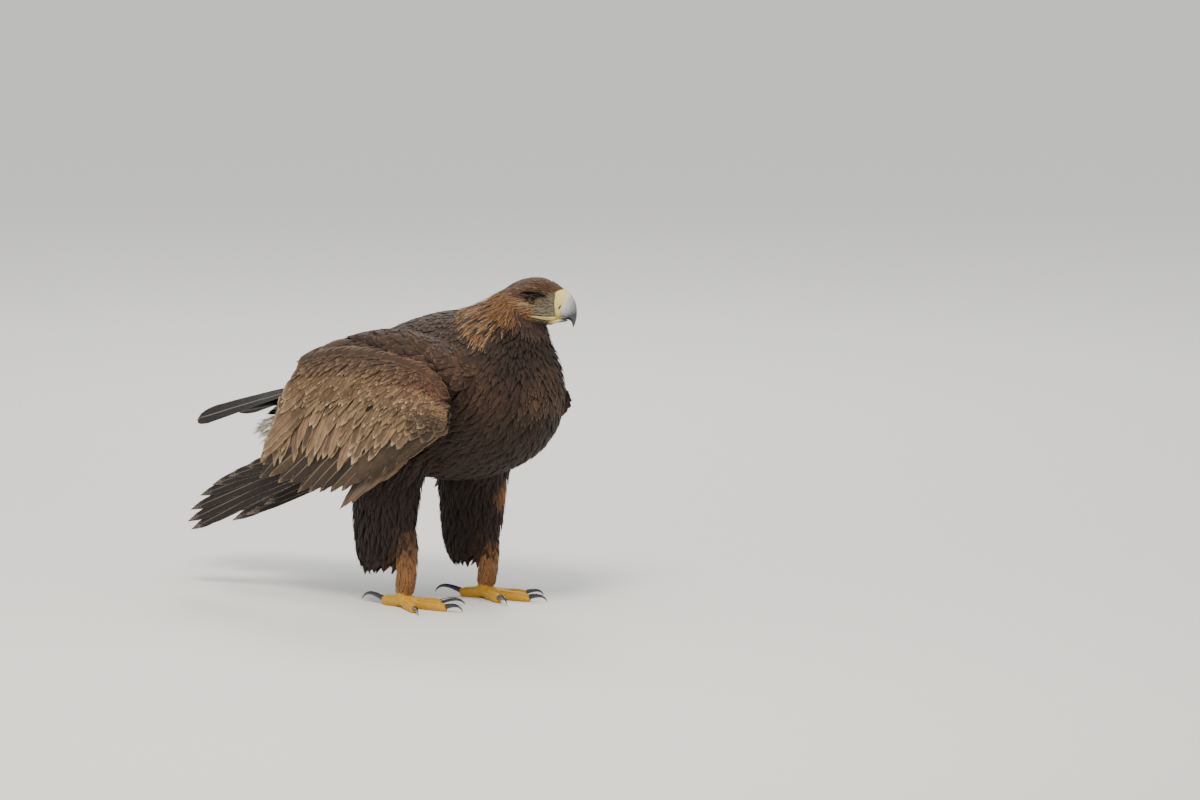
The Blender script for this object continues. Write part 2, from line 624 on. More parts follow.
def feather(name, barbs, edge_from, edge_to, shaft, shaft_wide, rough, relief, bloom):
    """Feather keratin: barbs slope back from the shaft, the rim is paler and worn, the root is dark down."""
    material, tree = blank(name)
    chart = add(tree, "ShaderNodeUVMap", {"uv_map": "Vane"})
    split = add(tree, "ShaderNodeSeparateXYZ", None, {0: chart})
    sided = {0: split.outputs[0], 1: 2.0, 2: -1.0}
    centred = add(tree, "ShaderNodeMath", {"operation": "MULTIPLY_ADD"}, sided)
    across = add(tree, "ShaderNodeMath", {"operation": "ABSOLUTE"}, {0: centred})
    along = split.outputs[1]
    place = add(tree, "ShaderNodeTexCoord").outputs["Object"]
    # Sun and wear bleach feathers in blotches and in small flecks
    blotch = {"Vector": place, "Scale": 1000 / WEAR_BLOTCH, "Detail": 2.0}
    broad = add(tree, "ShaderNodeTexNoise", None, blotch)
    fleck = {"Vector": place, "Scale": 1000 / WEAR_FLECK, "Detail": 2.0}
    small = add(tree, "ShaderNodeTexNoise", None, fleck)
    # The rim: both edges and the tip, ragged where barbs are worn away
    side = add(tree, "ShaderNodeMath", {"operation": "POWER"}, {0: across, 1: 2.4})
    tip = add(tree, "ShaderNodeMath", {"operation": "POWER"}, {0: along, 1: 7.0})
    edge = add(tree, "ShaderNodeMath", {"operation": "MAXIMUM"}, {0: side, 1: tip})
    ragged = add(tree, "ShaderNodeMath", {"operation": "MULTIPLY_ADD"}, {0: small, 1: 0.5, 2: -0.25})
    rim = add(tree, "ShaderNodeMath", {"operation": "ADD"}, {0: edge, 1: ragged})
    worn = add(tree, "ShaderNodeMapRange", {"interpolation_type": "SMOOTHSTEP"},
               {"Value": rim, "From Min": edge_from, "From Max": edge_to})
    inner = add(tree, "ShaderNodeAttribute", {"attribute_name": "inner"}).outputs["Color"]
    outer = add(tree, "ShaderNodeAttribute", {"attribute_name": "outer"}).outputs["Color"]
    vane = add(tree, "ShaderNodeMix", {"data_type": "RGBA"}, {0: worn, 6: inner, 7: outer})
    # Barbs lie about 0.3 mm apart, too fine to show, so they are drawn three times as coarse
    slope = add(tree, "ShaderNodeMath", {"operation": "MULTIPLY_ADD"}, {0: across, 1: -0.35, 2: along})
    waver = add(tree, "ShaderNodeMath", {"operation": "MULTIPLY_ADD"}, {0: small, 1: 0.05, 2: slope})
    count = add(tree, "ShaderNodeMath", {"operation": "MULTIPLY"}, {0: waver, 1: barbs * 2 * math.pi})
    barb = add(tree, "ShaderNodeMath", {"operation": "SINE"}, {0: count})
    cloud = add(tree, "ShaderNodeMath", {"operation": "MULTIPLY_ADD"}, {0: broad, 1: 0.9, 2: 0.55})
    lined = add(tree, "ShaderNodeMath", {"operation": "MULTIPLY_ADD"}, {0: barb, 1: 0.07, 2: cloud})
    root = add(tree, "ShaderNodeMapRange", {"interpolation_type": "SMOOTHSTEP"},
               {"Value": along, "From Min": 0.05, "From Max": 0.5, "To Min": 0.45, "To Max": 1.0})
    tone = add(tree, "ShaderNodeMath", {"operation": "MULTIPLY"}, {0: lined, 1: root})
    grey = add(tree, "ShaderNodeCombineColor", None, {0: tone, 1: tone, 2: tone})
    toned = add(tree, "ShaderNodeMix", {"data_type": "RGBA", "blend_type": "MULTIPLY"},
                {0: 1.0, 6: vane.outputs[2], 7: grey})
    # The shaft is a narrow ridge down the middle
    slant = {"Value": across, "From Min": shaft_wide, "From Max": shaft_wide * 2.4, "To Min": 0.75,
             "To Max": 0.0}
    ridge = add(tree, "ShaderNodeMapRange", {"interpolation_type": "SMOOTHSTEP"}, slant)
    colour = add(tree, "ShaderNodeMix", {"data_type": "RGBA"},
                 {0: ridge, 6: toned.outputs[2], 7: rgba(shaft)})
    low = add(tree, "ShaderNodeMath", {"operation": "MULTIPLY"}, {0: barb, 1: 0.5})
    height = add(tree, "ShaderNodeMath", {"operation": "MULTIPLY_ADD"}, {0: ridge, 1: 2.0, 2: low})
    bump = add(tree, "ShaderNodeBump", None, {"Strength": relief, "Distance": 0.0004, "Height": height})
    shader = add(tree, "ShaderNodeBsdfPrincipled", None, {
        "Base Color": colour.outputs[2], "Roughness": rough, "Normal": bump, "IOR": KERATIN_IOR,
        "Specular IOR Level": 0.24, "Sheen Weight": bloom, "Sheen Roughness": 0.45})
    add(tree, "ShaderNodeOutputMaterial", None, {"Surface": shader})
    return material


def down(name, rough, tuft):
    """Down close to the skin: matt, in soft tufts, dark between them, in the colours of the coat over it."""
    material, tree = blank(name)
    place = add(tree, "ShaderNodeTexCoord").outputs["Object"]
    tufts = add(tree, "ShaderNodeTexNoise", None, {"Vector": place, "Scale": 1000 / tuft, "Detail": 3.0})
    tint = add(tree, "ShaderNodeAttribute", {"attribute_name": "inner"}).outputs["Color"]
    tone = add(tree, "ShaderNodeMath", {"operation": "MULTIPLY_ADD"}, {0: tufts, 1: 0.9, 2: 0.3})
    grey = add(tree, "ShaderNodeCombineColor", None, {0: tone, 1: tone, 2: tone})
    colour = add(tree, "ShaderNodeMix", {"data_type": "RGBA", "blend_type": "MULTIPLY"},
                 {0: 1.0, 6: tint, 7: grey})
    bump = add(tree, "ShaderNodeBump", None, {"Strength": 0.7, "Distance": 0.0012, "Height": tufts})
    shader = add(tree, "ShaderNodeBsdfPrincipled", None, {
        "Base Color": colour.outputs[2], "Roughness": rough, "Normal": bump, "IOR": KERATIN_IOR,
        "Specular IOR Level": 0.2, "Sheen Weight": 0.15, "Sheen Roughness": 0.5})
    add(tree, "ShaderNodeOutputMaterial", None, {"Surface": shader})
    return material


def bare_skin(name, light, dark, cell, rough, relief, scatter):
    """Bare skin: raised cells with darker creases, and a little light passes in."""
    material, tree = blank(name)
    place = add(tree, "ShaderNodeTexCoord").outputs["Object"]
    cells = add(tree, "ShaderNodeTexVoronoi", {"feature": "DISTANCE_TO_EDGE"},
                {"Vector": place, "Scale": 1000 / cell})
    cloud = add(tree, "ShaderNodeTexNoise", None,
                {"Vector": place, "Scale": 1000 / SKIN_CLOUD, "Detail": 3.0})
    raised = add(tree, "ShaderNodeMapRange", {"interpolation_type": "SMOOTHSTEP"},
                 {"Value": cells, "From Min": 0.0, "From Max": 0.28})
    pale = add(tree, "ShaderNodeMath", {"operation": "MULTIPLY"}, {0: raised, 1: cloud})
    plain = add(tree, "ShaderNodeMix", {"data_type": "RGBA"}, {0: pale, 6: rgba(dark), 7: rgba(light)})
    tint = add(tree, "ShaderNodeAttribute", {"attribute_name": "inner"}).outputs["Color"]
    colour = add(tree, "ShaderNodeMix", {"data_type": "RGBA", "blend_type": "MULTIPLY"},
                 {0: 1.0, 6: plain.outputs[2], 7: tint})
    bump = add(tree, "ShaderNodeBump", None, {"Strength": relief, "Distance": 0.0005, "Height": raised})
    shader = add(tree, "ShaderNodeBsdfPrincipled", None, {
        "Base Color": colour.outputs[2], "Roughness": rough, "Normal": bump, "IOR": SKIN_IOR,
        "Subsurface Weight": scatter, "Subsurface Radius": (0.004, 0.002, 0.001), "Subsurface Scale": 0.4})
    add(tree, "ShaderNodeOutputMaterial", None, {"Surface": shader})
    return material


def horn(name, streak, rough, coat):
    """Horn of bill and claws: hard, polished by use, cloudy inside, with faint growth streaks."""
    material, tree = blank(name)
    place = add(tree, "ShaderNodeTexCoord").outputs["Object"]
    tint = add(tree, "ShaderNodeAttribute", {"attribute_name": "inner"}).outputs["Color"]
    lines = add(tree, "ShaderNodeTexNoise", None, {"Vector": place, "Scale": 1000 / streak, "Detail": 4.0})
    tone = add(tree, "ShaderNodeMath", {"operation": "MULTIPLY_ADD"}, {0: lines, 1: 0.5, 2: 0.75})
    grey = add(tree, "ShaderNodeCombineColor", None, {0: tone, 1: tone, 2: tone})
    colour = add(tree, "ShaderNodeMix", {"data_type": "RGBA", "blend_type": "MULTIPLY"},
                 {0: 1.0, 6: tint, 7: grey})
    polish = {"Value": lines, "From Min": 0.3, "From Max": 0.7, "To Min": rough * 0.8, "To Max": rough * 1.3}
    matt = add(tree, "ShaderNodeMapRange", {"interpolation_type": "SMOOTHSTEP"}, polish)
    bump = add(tree, "ShaderNodeBump", None, {"Strength": 0.25, "Distance": 0.0003, "Height": lines})
    shader = add(tree, "ShaderNodeBsdfPrincipled", None, {
        "Base Color": colour.outputs[2], "Roughness": matt, "Normal": bump, "IOR": KERATIN_IOR,
        "Coat Weight": coat, "Coat Roughness": 0.15})
    add(tree, "ShaderNodeOutputMaterial", None, {"Surface": shader})
    return material


# Body feathers: soft open vanes of dark brown keratin, matt, with a slightly paler loose rim
contour_vane = feather("contour_feather", 16, 0.35, 1.0, "#2a1d15", 0.03, 0.68, 0.5, 0.03)
# Hackles: narrow pointed feathers, silkier, with golden edges that catch the light
hackle_vane = feather("golden_hackle_feather", 12, 0.22, 0.85, "#54361e", 0.05, 0.56, 0.4, 0.1)
# Coverts a year old: bleached buff and frayed towards the rim, dusty matt
worn_vane = feather("worn_covert_feather", 26, 0.25, 0.85, "#4a3524", 0.045, 0.68, 0.6, 0.06)
# Flight and tail feathers: stiff zipped vanes, nearly black, a dull satin, with a hard pale shaft
flight_vane = feather("flight_feather", 60, 0.74, 1.02, "#7d7265", 0.035, 0.6, 0.5, 0.0)
# Down under the feathers: no gloss, tufts about 2.4 mm across
down_skin = down("down_over_skin", 0.9, 2.4)

# Skin
ground = Ground(fused("coat_face", flesh(0), 4.0, 6))
head_face = loft_of(profiled, HEAD_ROWS, 60, 72, [6, 1], 0, on_head)
bill_face = loft_of(profiled, BILL_ROWS, 40, 40, [1, 4.5], 0, on_head)
face_ground = Ground(fused("coat_face_of_head", [head_face, bill_face, *brows(0.6)], 1.4, 2))


def arm_share(s):
    """Share of the wing's depth that arm and hand fill, from wrist to elbow."""
    return ARM_AT_WRIST + (ARM_AT_ELBOW - ARM_AT_WRIST) * s


def wing_core(place=None):
    """Arm and hand of the folded wing under its coverts."""
    s, t = np.linspace(0.03, 0.97, 40), np.linspace(0.04, 0.96, 16)
    grid_s, grid_t = np.meshgrid(s, t, indexing="ij")
    point, out = on_face(wing_face, grid_s, grid_t * arm_share(grid_s))
    full = np.sqrt(np.clip(4 * grid_t * (1 - grid_t), 0, 1)) * np.sqrt(4 * grid_s * (1 - grid_s))
    deep = 6.0 + 11 * full[..., None]
    rings = np.concatenate([point - out * 3.0, (point - out * deep)[:, ::-1]], axis=1)
    first, last = rings[0].mean(axis=0), rings[-1].mean(axis=0)
    if place:
        rings, first, last = place(rings), place(first[None])[0], place(last[None])[0]
    return loft(rings, first, last)


cores = [wing_core(), wing_core(left_wing)]
for turned in (None, left_wing):
    cores.append(loft_of(limb, WRIST_ROWS, 20, 24, [6, 4], -3, turned))
    cores.append(loft_of(limb, HAND_ROWS, 14, 24, [6, 6], -2, turned))
skin = fused("skin", flesh(1) + brows(-2.4) + cores, 2.9, 3)


def coat_colours(p):
    """Colour of the coat over any point of the body: inner and rim, as arrays."""
    n = len(p)
    x, y, z = p[:, 0], np.abs(p[:, 1]), p[:, 2]
    inner = shades(n, "#251912", "#302017", "#1d140e", spread=0.2)
    outer = shades(n, "#40301f", "#4e3a29", "#32251a", spread=0.2)
    top = step_up(-10, 60, z - 400 - 0.25 * (x - 60)) * step_up(190, 120, x)
    inner = blend(inner, shades(n, "#33271f", "#40322a", "#2c221c"), top)
    outer = blend(outer, shades(n, "#5d4c3f", "#6a5848", "#4c3d32"), top)
    rufous = step_up(60, 84, y) * step_up(-80, 60, x) * step_up(320, 380, z)
    inner = blend(inner, shades(n, "#38271b", "#453024", "#2b1f18"), rufous * 0.9)
    outer = blend(outer, shades(n, "#604737", "#705340", "#4a3729"), rufous * 0.9)
    leg = step_up(230, 170, z)
    inner = blend(inner, shades(n, "#1c130e", "#241812", "#18100c"), leg)
    outer = blend(outer, shades(n, "#33231a", "#3f2c20", "#261a13"), leg)
    breast = step_up(205, 240, x) * step_up(330, 370, z) * step_up(470, 440, z)
    inner = blend(inner, shades(n, "#3a281d", "#4a3526", "#2c1e16"), breast)
    outer = blend(outer, shades(n, "#7b634b", "#8c7459", "#5d4937"), breast)
    return inner, outer


places = points_of(skin)
count = len(places)
tint, _ = coat_colours(places)
local = off_head(places)
tawny = step_up(-60, -30, local[:, 0]) * step_up(120, 160, places[:, 0]) * step_up(440, 475, places[:, 2])
tint = blend(tint, shades(count, "#5a3d26", "#684829"), tawny)
tint = blend(tint, shades(count, "#8b8360", "#978e68"), step_up(27, 33, local[:, 0]) * tawny)
shaded = step_up(18, 12, np.hypot(local[:, 0] - 8, (local[:, 2] - 5) * 1.4)) * tawny
tint = blend(tint, shades(count, "#2b211a", "#352920"), shaded)
shin = step_up(130, 95, places[:, 2])
tint = blend(tint, shades(count, "#7a4c24", "#8a5a2e"), shin)
tinted(skin, tint)
settled(skin, down_skin, "back_feather", "torso", "neck", "head", "shoulder_right", "shoulder_left",
        "thigh_right", "thigh_left", "shank_right", "shank_left")


# Body coat
def on_coat(places, near=5.0):
    """Feathers whose roots lie on the outer face, not inside another part of the body."""
    spots, _ = ground.near(places[2])
    return np.linalg.norm(spots - places[2], axis=-1) < near


def side_chart(t, a, turned):
    """Root places of a paired part: the right one on the left half of the map, the left one on the other."""
    return np.stack([0.02 + 0.46 * t + (0.5 if turned else 0.0), 0.03 + 0.94 * a / (2 * np.pi)], -1)


for name, upper in (("mantle_feathers", True), ("breast_feathers", False)):
    plumes = Plumage(name)
    places = tract(lambda t, a: profiled(BODY_ROWS, t, a), lambda t: 10.5 - 5 * step_up(0.68, 1, t),
                   lambda t: 10.5 - 4.5 * step_up(0.68, 1, t), (0.01, 0.998))
    t, a, spot, way = places
    n = len(t)
    on_top = np.cos(a) > 0.1
    keep = on_coat(places) & (on_top == upper)
    keep &= ~((np.abs(spot[:, 1]) > 80) & (spot[:, 0] < 60) & (spot[:, 2] > 230) & (spot[:, 2] < 400))
    inner, outer = coat_colours(spot)
    back = step_up(-0.2, 0.6, np.cos(a))
    length = 38 + 18 * back - 16 * step_up(0.7, 1, t) + 8 * step_up(0.3, 0, t)
    wide = 17 + 12 * back - 7 * step_up(0.7, 1, t)
    nape = step_up(0.8, 0.93, t) * step_up(-0.2, 0.5, np.cos(a))
    keep &= nape < 0.75
    coat_tract(plumes, ground, places, keep, length, wide, inner, outer, depth=8, lift=1.7, k=6, across=5,
               ragged=0.34, shape=SOFT if upper else LANCE, wander=0.13, drop=0.35, rise=0.35)
    plumes.finish(contour_vane, "back_feather")

# The golden cape ends on a line of the photo: its pixels to the mm, and its ways right and up in the layout
PHOTO_SCALE, PHOTO_RIGHT, PHOTO_UP = 0.61, (0.8387, 0.5446, 0), (-0.0758, 0.1167, 0.9903)
CAPE_SPOT, CAPE_AHEAD, CAPE_SOFT = (90, -279), (0.562, 0.826), (-5, 6)


def past_cape(p):
    """0 for feather ends on the golden cape, 1 for those in front of it, on both sides of the neck."""
    near = p * [1, 0, 1] - stack(0, np.abs(p[:, 1]), 0)
    right = PHOTO_SCALE * dot(near, PHOTO_RIGHT)[:, 0]
    down = -PHOTO_SCALE * dot(near, PHOTO_UP)[:, 0]
    ahead = (right - CAPE_SPOT[0]) * CAPE_AHEAD[0] + (down - CAPE_SPOT[1]) * CAPE_AHEAD[1]
    return step_up(*CAPE_SOFT, ahead)


# Rows carried on from the end of the neck, under the chin and up the back of the head
NECK_AROUND = 64
neck_a = np.linspace(0, 2 * np.pi, NECK_AROUND, endpoint=False)


def neck_ring(t, a=neck_a):
    return profiled(BODY_ROWS, np.full(NECK_AROUND, t), a)


neck_up = unit(neck_ring(1.0) - neck_ring(0.97))


def collar(count, first, step):
    """Places of feathers in count rows past the end of the neck, as tract gives them."""
    rows = [neck_ring(1.0, neck_a + 0.05 * (i % 2)) + neck_up * (first + step * i) for i in range(count)]
    t = np.repeat(np.linspace(0.2, 0.9, count), NECK_AROUND)
    return t, np.tile(neck_a, count), np.concatenate(rows), np.tile(-neck_up, (count, 1))


throat = Plumage("throat_feathers")
places = collar(8, 3, 4.0)
t, a, spot, way = places
n = len(t)
nape = step_up(-0.45, 0.1, np.cos(a) + draw.normal(0, 0.1, n)) * (1 - past_cape(spot + way * 18))
inner = blend(shades(n, "#33241a", "#241913", "#3d2b1f"), shades(n, "#6f4726", "#7f5530", "#593a21"), nape)
outer = blend(shades(n, "#4e3a2a", "#5f4833", "#3b2b20"), shades(n, "#ab7c45", "#b98a50", "#916536"), nape)
coat_tract(throat, ground, places, np.ones(n, bool), 24, 6.5, inner, outer, depth=4, lift=1.2,
           shape=LANCE, k=6, wander=0.16, ragged=0.3, drop=0.3, rise=0.3)
throat.finish(hackle_vane, "neck_feather")

scapulars = Plumage("scapular_feathers")
for turned in (None, left_wing):
    places = tract(placed(limb, SHOULDER_ROWS, turned), lambda t: 11 + 4 * t, lambda t: 12 + 2 * t,
                   (0.0, 0.93), sign=1)
    t, a, spot, way = places
    keep = on_coat(places, 4)
    inner, outer = coat_colours(spot)
    length = np.clip(np.minimum(40 + 30 * t, spot[:, 0] + 178), 14, 70)
    coat_tract(scapulars, ground, places, keep, length, 20 + 7 * t, inner, outer, depth=6, lift=1.8, k=7,
               across=5, ragged=0.34, spot=side_chart(t, a, turned), stiff=0.5 * step_up(0.7, 0.9, t),
               wander=0.12, shape=SOFT, drop=0.4, rise=0.4)
scapulars.finish(contour_vane, "shoulder_feather")

trousers = Plumage("trouser_feathers")
for turned in (None, left_thigh):
    places = tract(placed(profiled, THIGH_ROWS, turned), 9.5, 8.5, (0.1, 1.0), sign=1)
    t, a, spot, way = places
    keep = on_coat(places)
    inner, outer = coat_colours(spot)
    front = step_up(0.2, 0.8, np.cos(a)) * step_up(0.45, 0.9, t)
    inner = blend(inner, shades(len(t), "#3a2518", "#46301f"), front)
    # The tawny patch on the front of the far thigh
    tawny = step_up(34, 16, np.linalg.norm(spot - [99, 85, 198], axis=-1))
    inner = blend(inner, shades(len(t), "#8a5f36", "#75502e"), tawny)
    outer = blend(outer, shades(len(t), "#c79a66", "#b58654"), tawny)
    coat_tract(trousers, ground, places, keep, 38 - 6 * t, 12, inner, outer, depth=7, lift=2.2, k=6,
               across=3, shape=LANCE, ragged=0.34, spot=side_chart(t, a, turned), wander=0.15,
               stiff=0.9 * step_up(0.8, 0.95, t), drop=0.4)
trousers.finish(contour_vane, "trouser_feather")

shins = Plumage("shank_feathers")
for turned in (None, left_foot):
    places = tract(placed(limb, SHANK_ROWS, turned), 4.2, 4.2, (0.05, 0.98), sign=1)
    t, a, spot, way = places
    keep = on_coat(places, 3)
    n = len(t)
    upper = step_up(0.62, 0.25, t + draw.normal(0, 0.06, n))
    inner = blend(shades(n, "#8f6035", "#a5733f", "#7b4f2a"), shades(n, "#4a2f1c", "#5b3a22", "#38241a"),
                  upper)
    outer = blend(shades(n, "#bd8f55", "#caa069", "#a8783f"), shades(n, "#7a5535", "#684729", "#8b6340"),
                  upper)
    coat_tract(shins, ground, places, keep, 19, 5.2, inner, outer, depth=3.5, lift=1.1, k=5, across=3,
               shape=LANCE, ragged=0.3, spot=side_chart(t, a, turned), wander=0.16, drop=0.4, rise=0.3)
shins.finish(hackle_vane, "shank_feather")

# Nape hackles and head
hackles = Plumage("nape_hackles")
places = tract(lambda t, a: profiled(BODY_ROWS, t, a, 0.5), 5.4, 5.2, (0.76, 0.998))
t, a, spot, way = places
keep = on_coat(places, 6)
golden = step_up(-0.42, 0.12, np.cos(a)) * step_up(0.76, 0.86, t)
keep &= draw.random(len(t)) < golden
n = len(t)
streak = draw.random(n)
inner = blend(shades(n, "#523319", "#6b4422", "#432b1a", spread=0.25), shades(n, "#91602f", "#a3703c"),
              streak ** 3)
outer = blend(shades(n, "#aa8354", "#be9864", "#937048", spread=0.2), shades(n, "#e2c79c", "#d5b07c"),
              streak ** 1.3)
beyond = past_cape(spot + way * 34)
inner = blend(inner, shades(n, "#2f2118", "#3d2b1f", "#241913"), beyond)
outer = blend(outer, shades(n, "#4f3b2b", "#604937", "#3d2e22"), beyond)
length = (48 - 14 * step_up(0.85, 1, t)) * (1 - 0.4 * beyond)
coat_tract(hackles, ground, places, keep, length, 6.2 + 2 * beyond, inner, outer, depth=5,
           lift=3.0 - 1.6 * beyond, shape=LANCE, k=7, across=3, wander=0.15, ragged=0.25, drop=0.3, rise=0.3)
# Rows that carry the hackles up the back of the head, so that no edge shows between the two
places = collar(7, 2, 4.5)
t, a, spot, way = places
n = len(t)
keep = (np.cos(a) > -0.3) & (draw.random(n) < 0.9)
inner = shades(n, "#5d3c20", "#744b27", "#4c321d", spread=0.25)
outer = shades(n, "#a97f4c", "#bb945c", "#91703f", spread=0.2)
beyond = past_cape(spot + way * 22)
inner = blend(inner, shades(n, "#3b2a1e", "#4a3425", "#2f2218"), beyond)
outer = blend(outer, shades(n, "#644b37", "#755a42", "#4f3b2b"), beyond)
coat_tract(hackles, ground, places, keep, 32, 5.2, inner, outer, depth=4, lift=2.2, shape=LANCE, k=7,
           wander=0.16, ragged=0.22, drop=0.3, rise=0.3)
hackles.finish(hackle_vane, "neck_feather")

crown = Plumage("head_feathers")
places = tract(lambda t, a: on_head(profiled(HEAD_ROWS, t, a)), lambda t: 3.7 - 1.5 * t,
               lambda t: 3.5 - 1.5 * t, (0.0, 0.985))
t, a, spot, way = places
# Forehead feathers run out in a wedge over the root of the bill
wedge_t, wedge_a = np.meshgrid(np.linspace(0.02, 0.26, 16), np.linspace(-0.9, 0.9, 21), indexing="ij")
inside = (np.abs(wedge_a) < 1.0 - 2.6 * wedge_t).ravel()
wedge_t = wedge_t.ravel()[inside]
wedge_a = wedge_a.ravel()[inside] + draw.normal(0, 0.03, inside.sum())
wedge = on_head(profiled(BILL_ROWS, wedge_t, wedge_a))
wedge_way = unit(on_head(profiled(BILL_ROWS, wedge_t - 0.02, wedge_a)) - wedge)
local = off_head(spot)
n = len(t)
eye_spot = local * [1, 0, 1] - [EYE["x"] + 3.5, 0, EYE["z"] - 0.3]
eye_gap = np.linalg.norm(eye_spot * [0.86, 1, 1.2], axis=-1)
keep = (eye_gap > 8.2) | (np.abs(local[:, 1]) < 15)
keep &= ~((local[:, 0] > -8) & (np.abs(local[:, 2] + 28.6) < 1.6) & (np.abs(local[:, 1]) > 6))
stray = draw.normal(0, 2.0, n)
x, z = local[:, 0] + stray, local[:, 2] + draw.normal(0, 1.5, n)
top = step_up(2, 14, z)
chin = step_up(-31, -41, z)
lore = step_up(8, 26, x) * step_up(14, 5, z) * (1 - chin)
under_eye = step_up(15, 8, np.hypot(x - 6, (z + 7) * 1.6)) * step_up(-1, -4, z)
brow = step_up(7, 4, np.abs(z - 7.5)) * step_up(-14, -8, x) * step_up(34, 26, x) * (np.abs(local[:, 1]) > 14)
inner = shades(n, "#6b482c", "#7f5836", "#583b24", "#8d6440", spread=0.2)
outer = shades(n, "#a58052", "#b8925f", "#8c683f", spread=0.2)
inner = blend(inner, shades(n, "#553a27", "#634630", "#47301f"), top)
outer = blend(outer, shades(n, "#8b6a49", "#a07e58", "#74563a"), top)
inner = blend(inner, shades(n, "#7f7964", "#979079", "#6a6250", spread=0.25), lore * 0.9)
outer = blend(outer, shades(n, "#b3ac93", "#c8c1a8", "#99917a", spread=0.2), lore * 0.9)
inner = blend(inner, shades(n, "#8a7455", "#9c8663"), under_eye * 0.8)
outer = blend(outer, shades(n, "#b7a27b", "#c7b48e"), under_eye * 0.8)
inner = blend(inner, shades(n, "#2b1f18", "#352720"), brow * 0.85)
outer = blend(outer, shades(n, "#4b3a2c", "#574534"), brow * 0.85)
inner = blend(inner, shades(n, "#3a2a1e", "#2d2018"), chin)
outer = blend(outer, shades(n, "#5c4632", "#4a3728"), chin)
fleck = draw.random(n) < 0.05 * top
outer[fleck] = shades(fleck.sum(), "#e6d8ba", "#d3c09a")
length = 22 - 15 * step_up(0.1, 0.85, t)
wide = 4.6 - 2.5 * step_up(0.1, 0.85, t)
chart = np.stack([0.03 + 0.94 * np.clip(t, 0, 1), 0.03 + 0.94 * a / (2 * np.pi)], -1)
coat_tract(crown, face_ground, (t, a, spot, way), keep, length, wide, inner, outer, depth=2.6,
           lift=0.75 - 0.4 * np.clip(t, 0, 1), shape=LANCE, k=5, across=3, wander=0.15, ragged=0.25,
           rise=0.14, drop=0.3, spot=chart)
n = len(wedge)
coat_tract(crown, face_ground, (0.9 + 0.3 * wedge_t, np.mod(wedge_a, 2 * np.pi), wedge, wedge_way),
           np.ones(n, bool), 8, 2.4, shades(n, "#553a27", "#634630", "#47301f"),
           shades(n, "#8b6a49", "#a07e58", "#74563a"), depth=0.5, lift=1.3, shape=LANCE, k=5, wander=0.2,
           ragged=0.25, rise=0.14, drop=0.3)
crown.finish(hackle_vane, "crown_feather")


# Wings
def face_vanes(plumage, face, start, end, wide, height, inner, outer, shape, k, across, place, turned,
               lean=2.0, ragged=0.1, rise=0.8, drop=0.05, chart=None, flat_out=None, tip=0.05):
    """Vanes on a face from one s and t to another; height is at root and tip, then more for each vane."""
    n = len(wide)
    u = np.linspace(0, 1, k)[None]
    s = start[:, :1] + (end[:, :1] - start[:, :1]) * u
    t = start[:, 1:] + (end[:, 1:] - start[:, 1:]) * u
    if flat_out is None:
        mid, out = on_face(face, s, t)
    else:
        mid = face(s, t)
        out = np.broadcast_to(flat_out, mid.shape)
    high = height[0] + (height[1] - height[0]) * u
    high = high[..., None] + np.zeros((n, 1, 1))
    if len(height) > 2:
        high = high + height[2][:, None, None]
    half = outline(shape, u[0], wide, ragged)
    if chart is None:
        chart = np.stack([0.05 + 0.9 * start[:, 0], 0.05 + 0.7 * start[:, 1]], -1)
    plumage.add(mid + out * high, out, half, inner, outer, np.clip(chart, 0, 1), rise, wide * drop, lean,
                across, place, tip, turned, on_vane(u[0]))


def covert_tier(plumage, s, row, reach, sweep, wide, height, tone, rim, shape, k, across, place, turned,
                ragged=0.3, scatter=0.25):
    """One staggered row of coverts across the wing, each with its own slant, length and height."""
    on_top = row > -0.03
    if not on_top.any():
        return
    s, row, reach = s[on_top], row[on_top], (reach + s * 0)[on_top]
    n = len(s)
    start = np.stack([s, row], -1)
    finish = np.stack([np.clip(s + sweep - 0.16 * s * reach + draw.normal(0, 0.016, n), 0, 1.03),
                       row + reach * draw.uniform(0.8, 1.14, n)], -1)
    high = (*height, draw.uniform(-0.9, 0.9, n))
    dark = step_up(0.45, 0.15, s) * step_up(0.22, 0.34, row)
    inner = blend(shades(n, *tone, spread=scatter), shades(n, "#3b2d22", "#2c211a"), 0.8 * dark)
    outer = blend(shades(n, *rim, spread=scatter), shades(n, "#705a43", "#5d4a38"), 0.7 * dark)
    face_vanes(plumage, wing_face, start, finish, draw.uniform(0.82, 1.12, n) * wide, high, inner, outer,
               shape, k, across, place, turned, lean=1.6, ragged=ragged, rise=0.6, drop=0.035)


# Widths of vanes, in mm, and how far each primary lies under the one before it
SECONDARY_WIDE, PRIMARY_WIDE, PRIMARY_COVERT_WIDE, ALULA_WIDE, TAIL_WIDE = 36.0, 33.0, 30.0, 33.0, 44.0
PRIMARY_STEP = 1.35
# Greater coverts: place of the roots, number, share of the wing they reach, width, height at root and tip
GREATER_COVERTS = (
    (0.42, 20, 0.44, 27, (-8.6, -5.6)), (0.36, 22, 0.4, 25, (-7.4, -4.0)), (0.31, 22, 0.33, 23, (-6.2, -2.4)))
# Colours of coverts: middle of the vane, then its bleached rim
BUFF = ("#6b503a", "#8a6e51", "#4a3729", "#36291f", "#a08260")
BUFF_RIM = ("#bda27a", "#d3bd96", "#987d5b", "#7a6248")
LESSER = ("#715439", "#80624a", "#5a412c", "#4a3524")
LESSER_RIM = ("#b2976d", "#c0a67e", "#94774f", "#7f6343")
TOPMOST = ("#54402f", "#634c38", "#43322a")
TOPMOST_RIM = ("#8b7152", "#9c8463", "#745c42")
LINING = ("#33271e", "#3f3026", "#2a2019")
LINING_RIM = ("#5a4736", "#6a5543", "#4b3b2d")


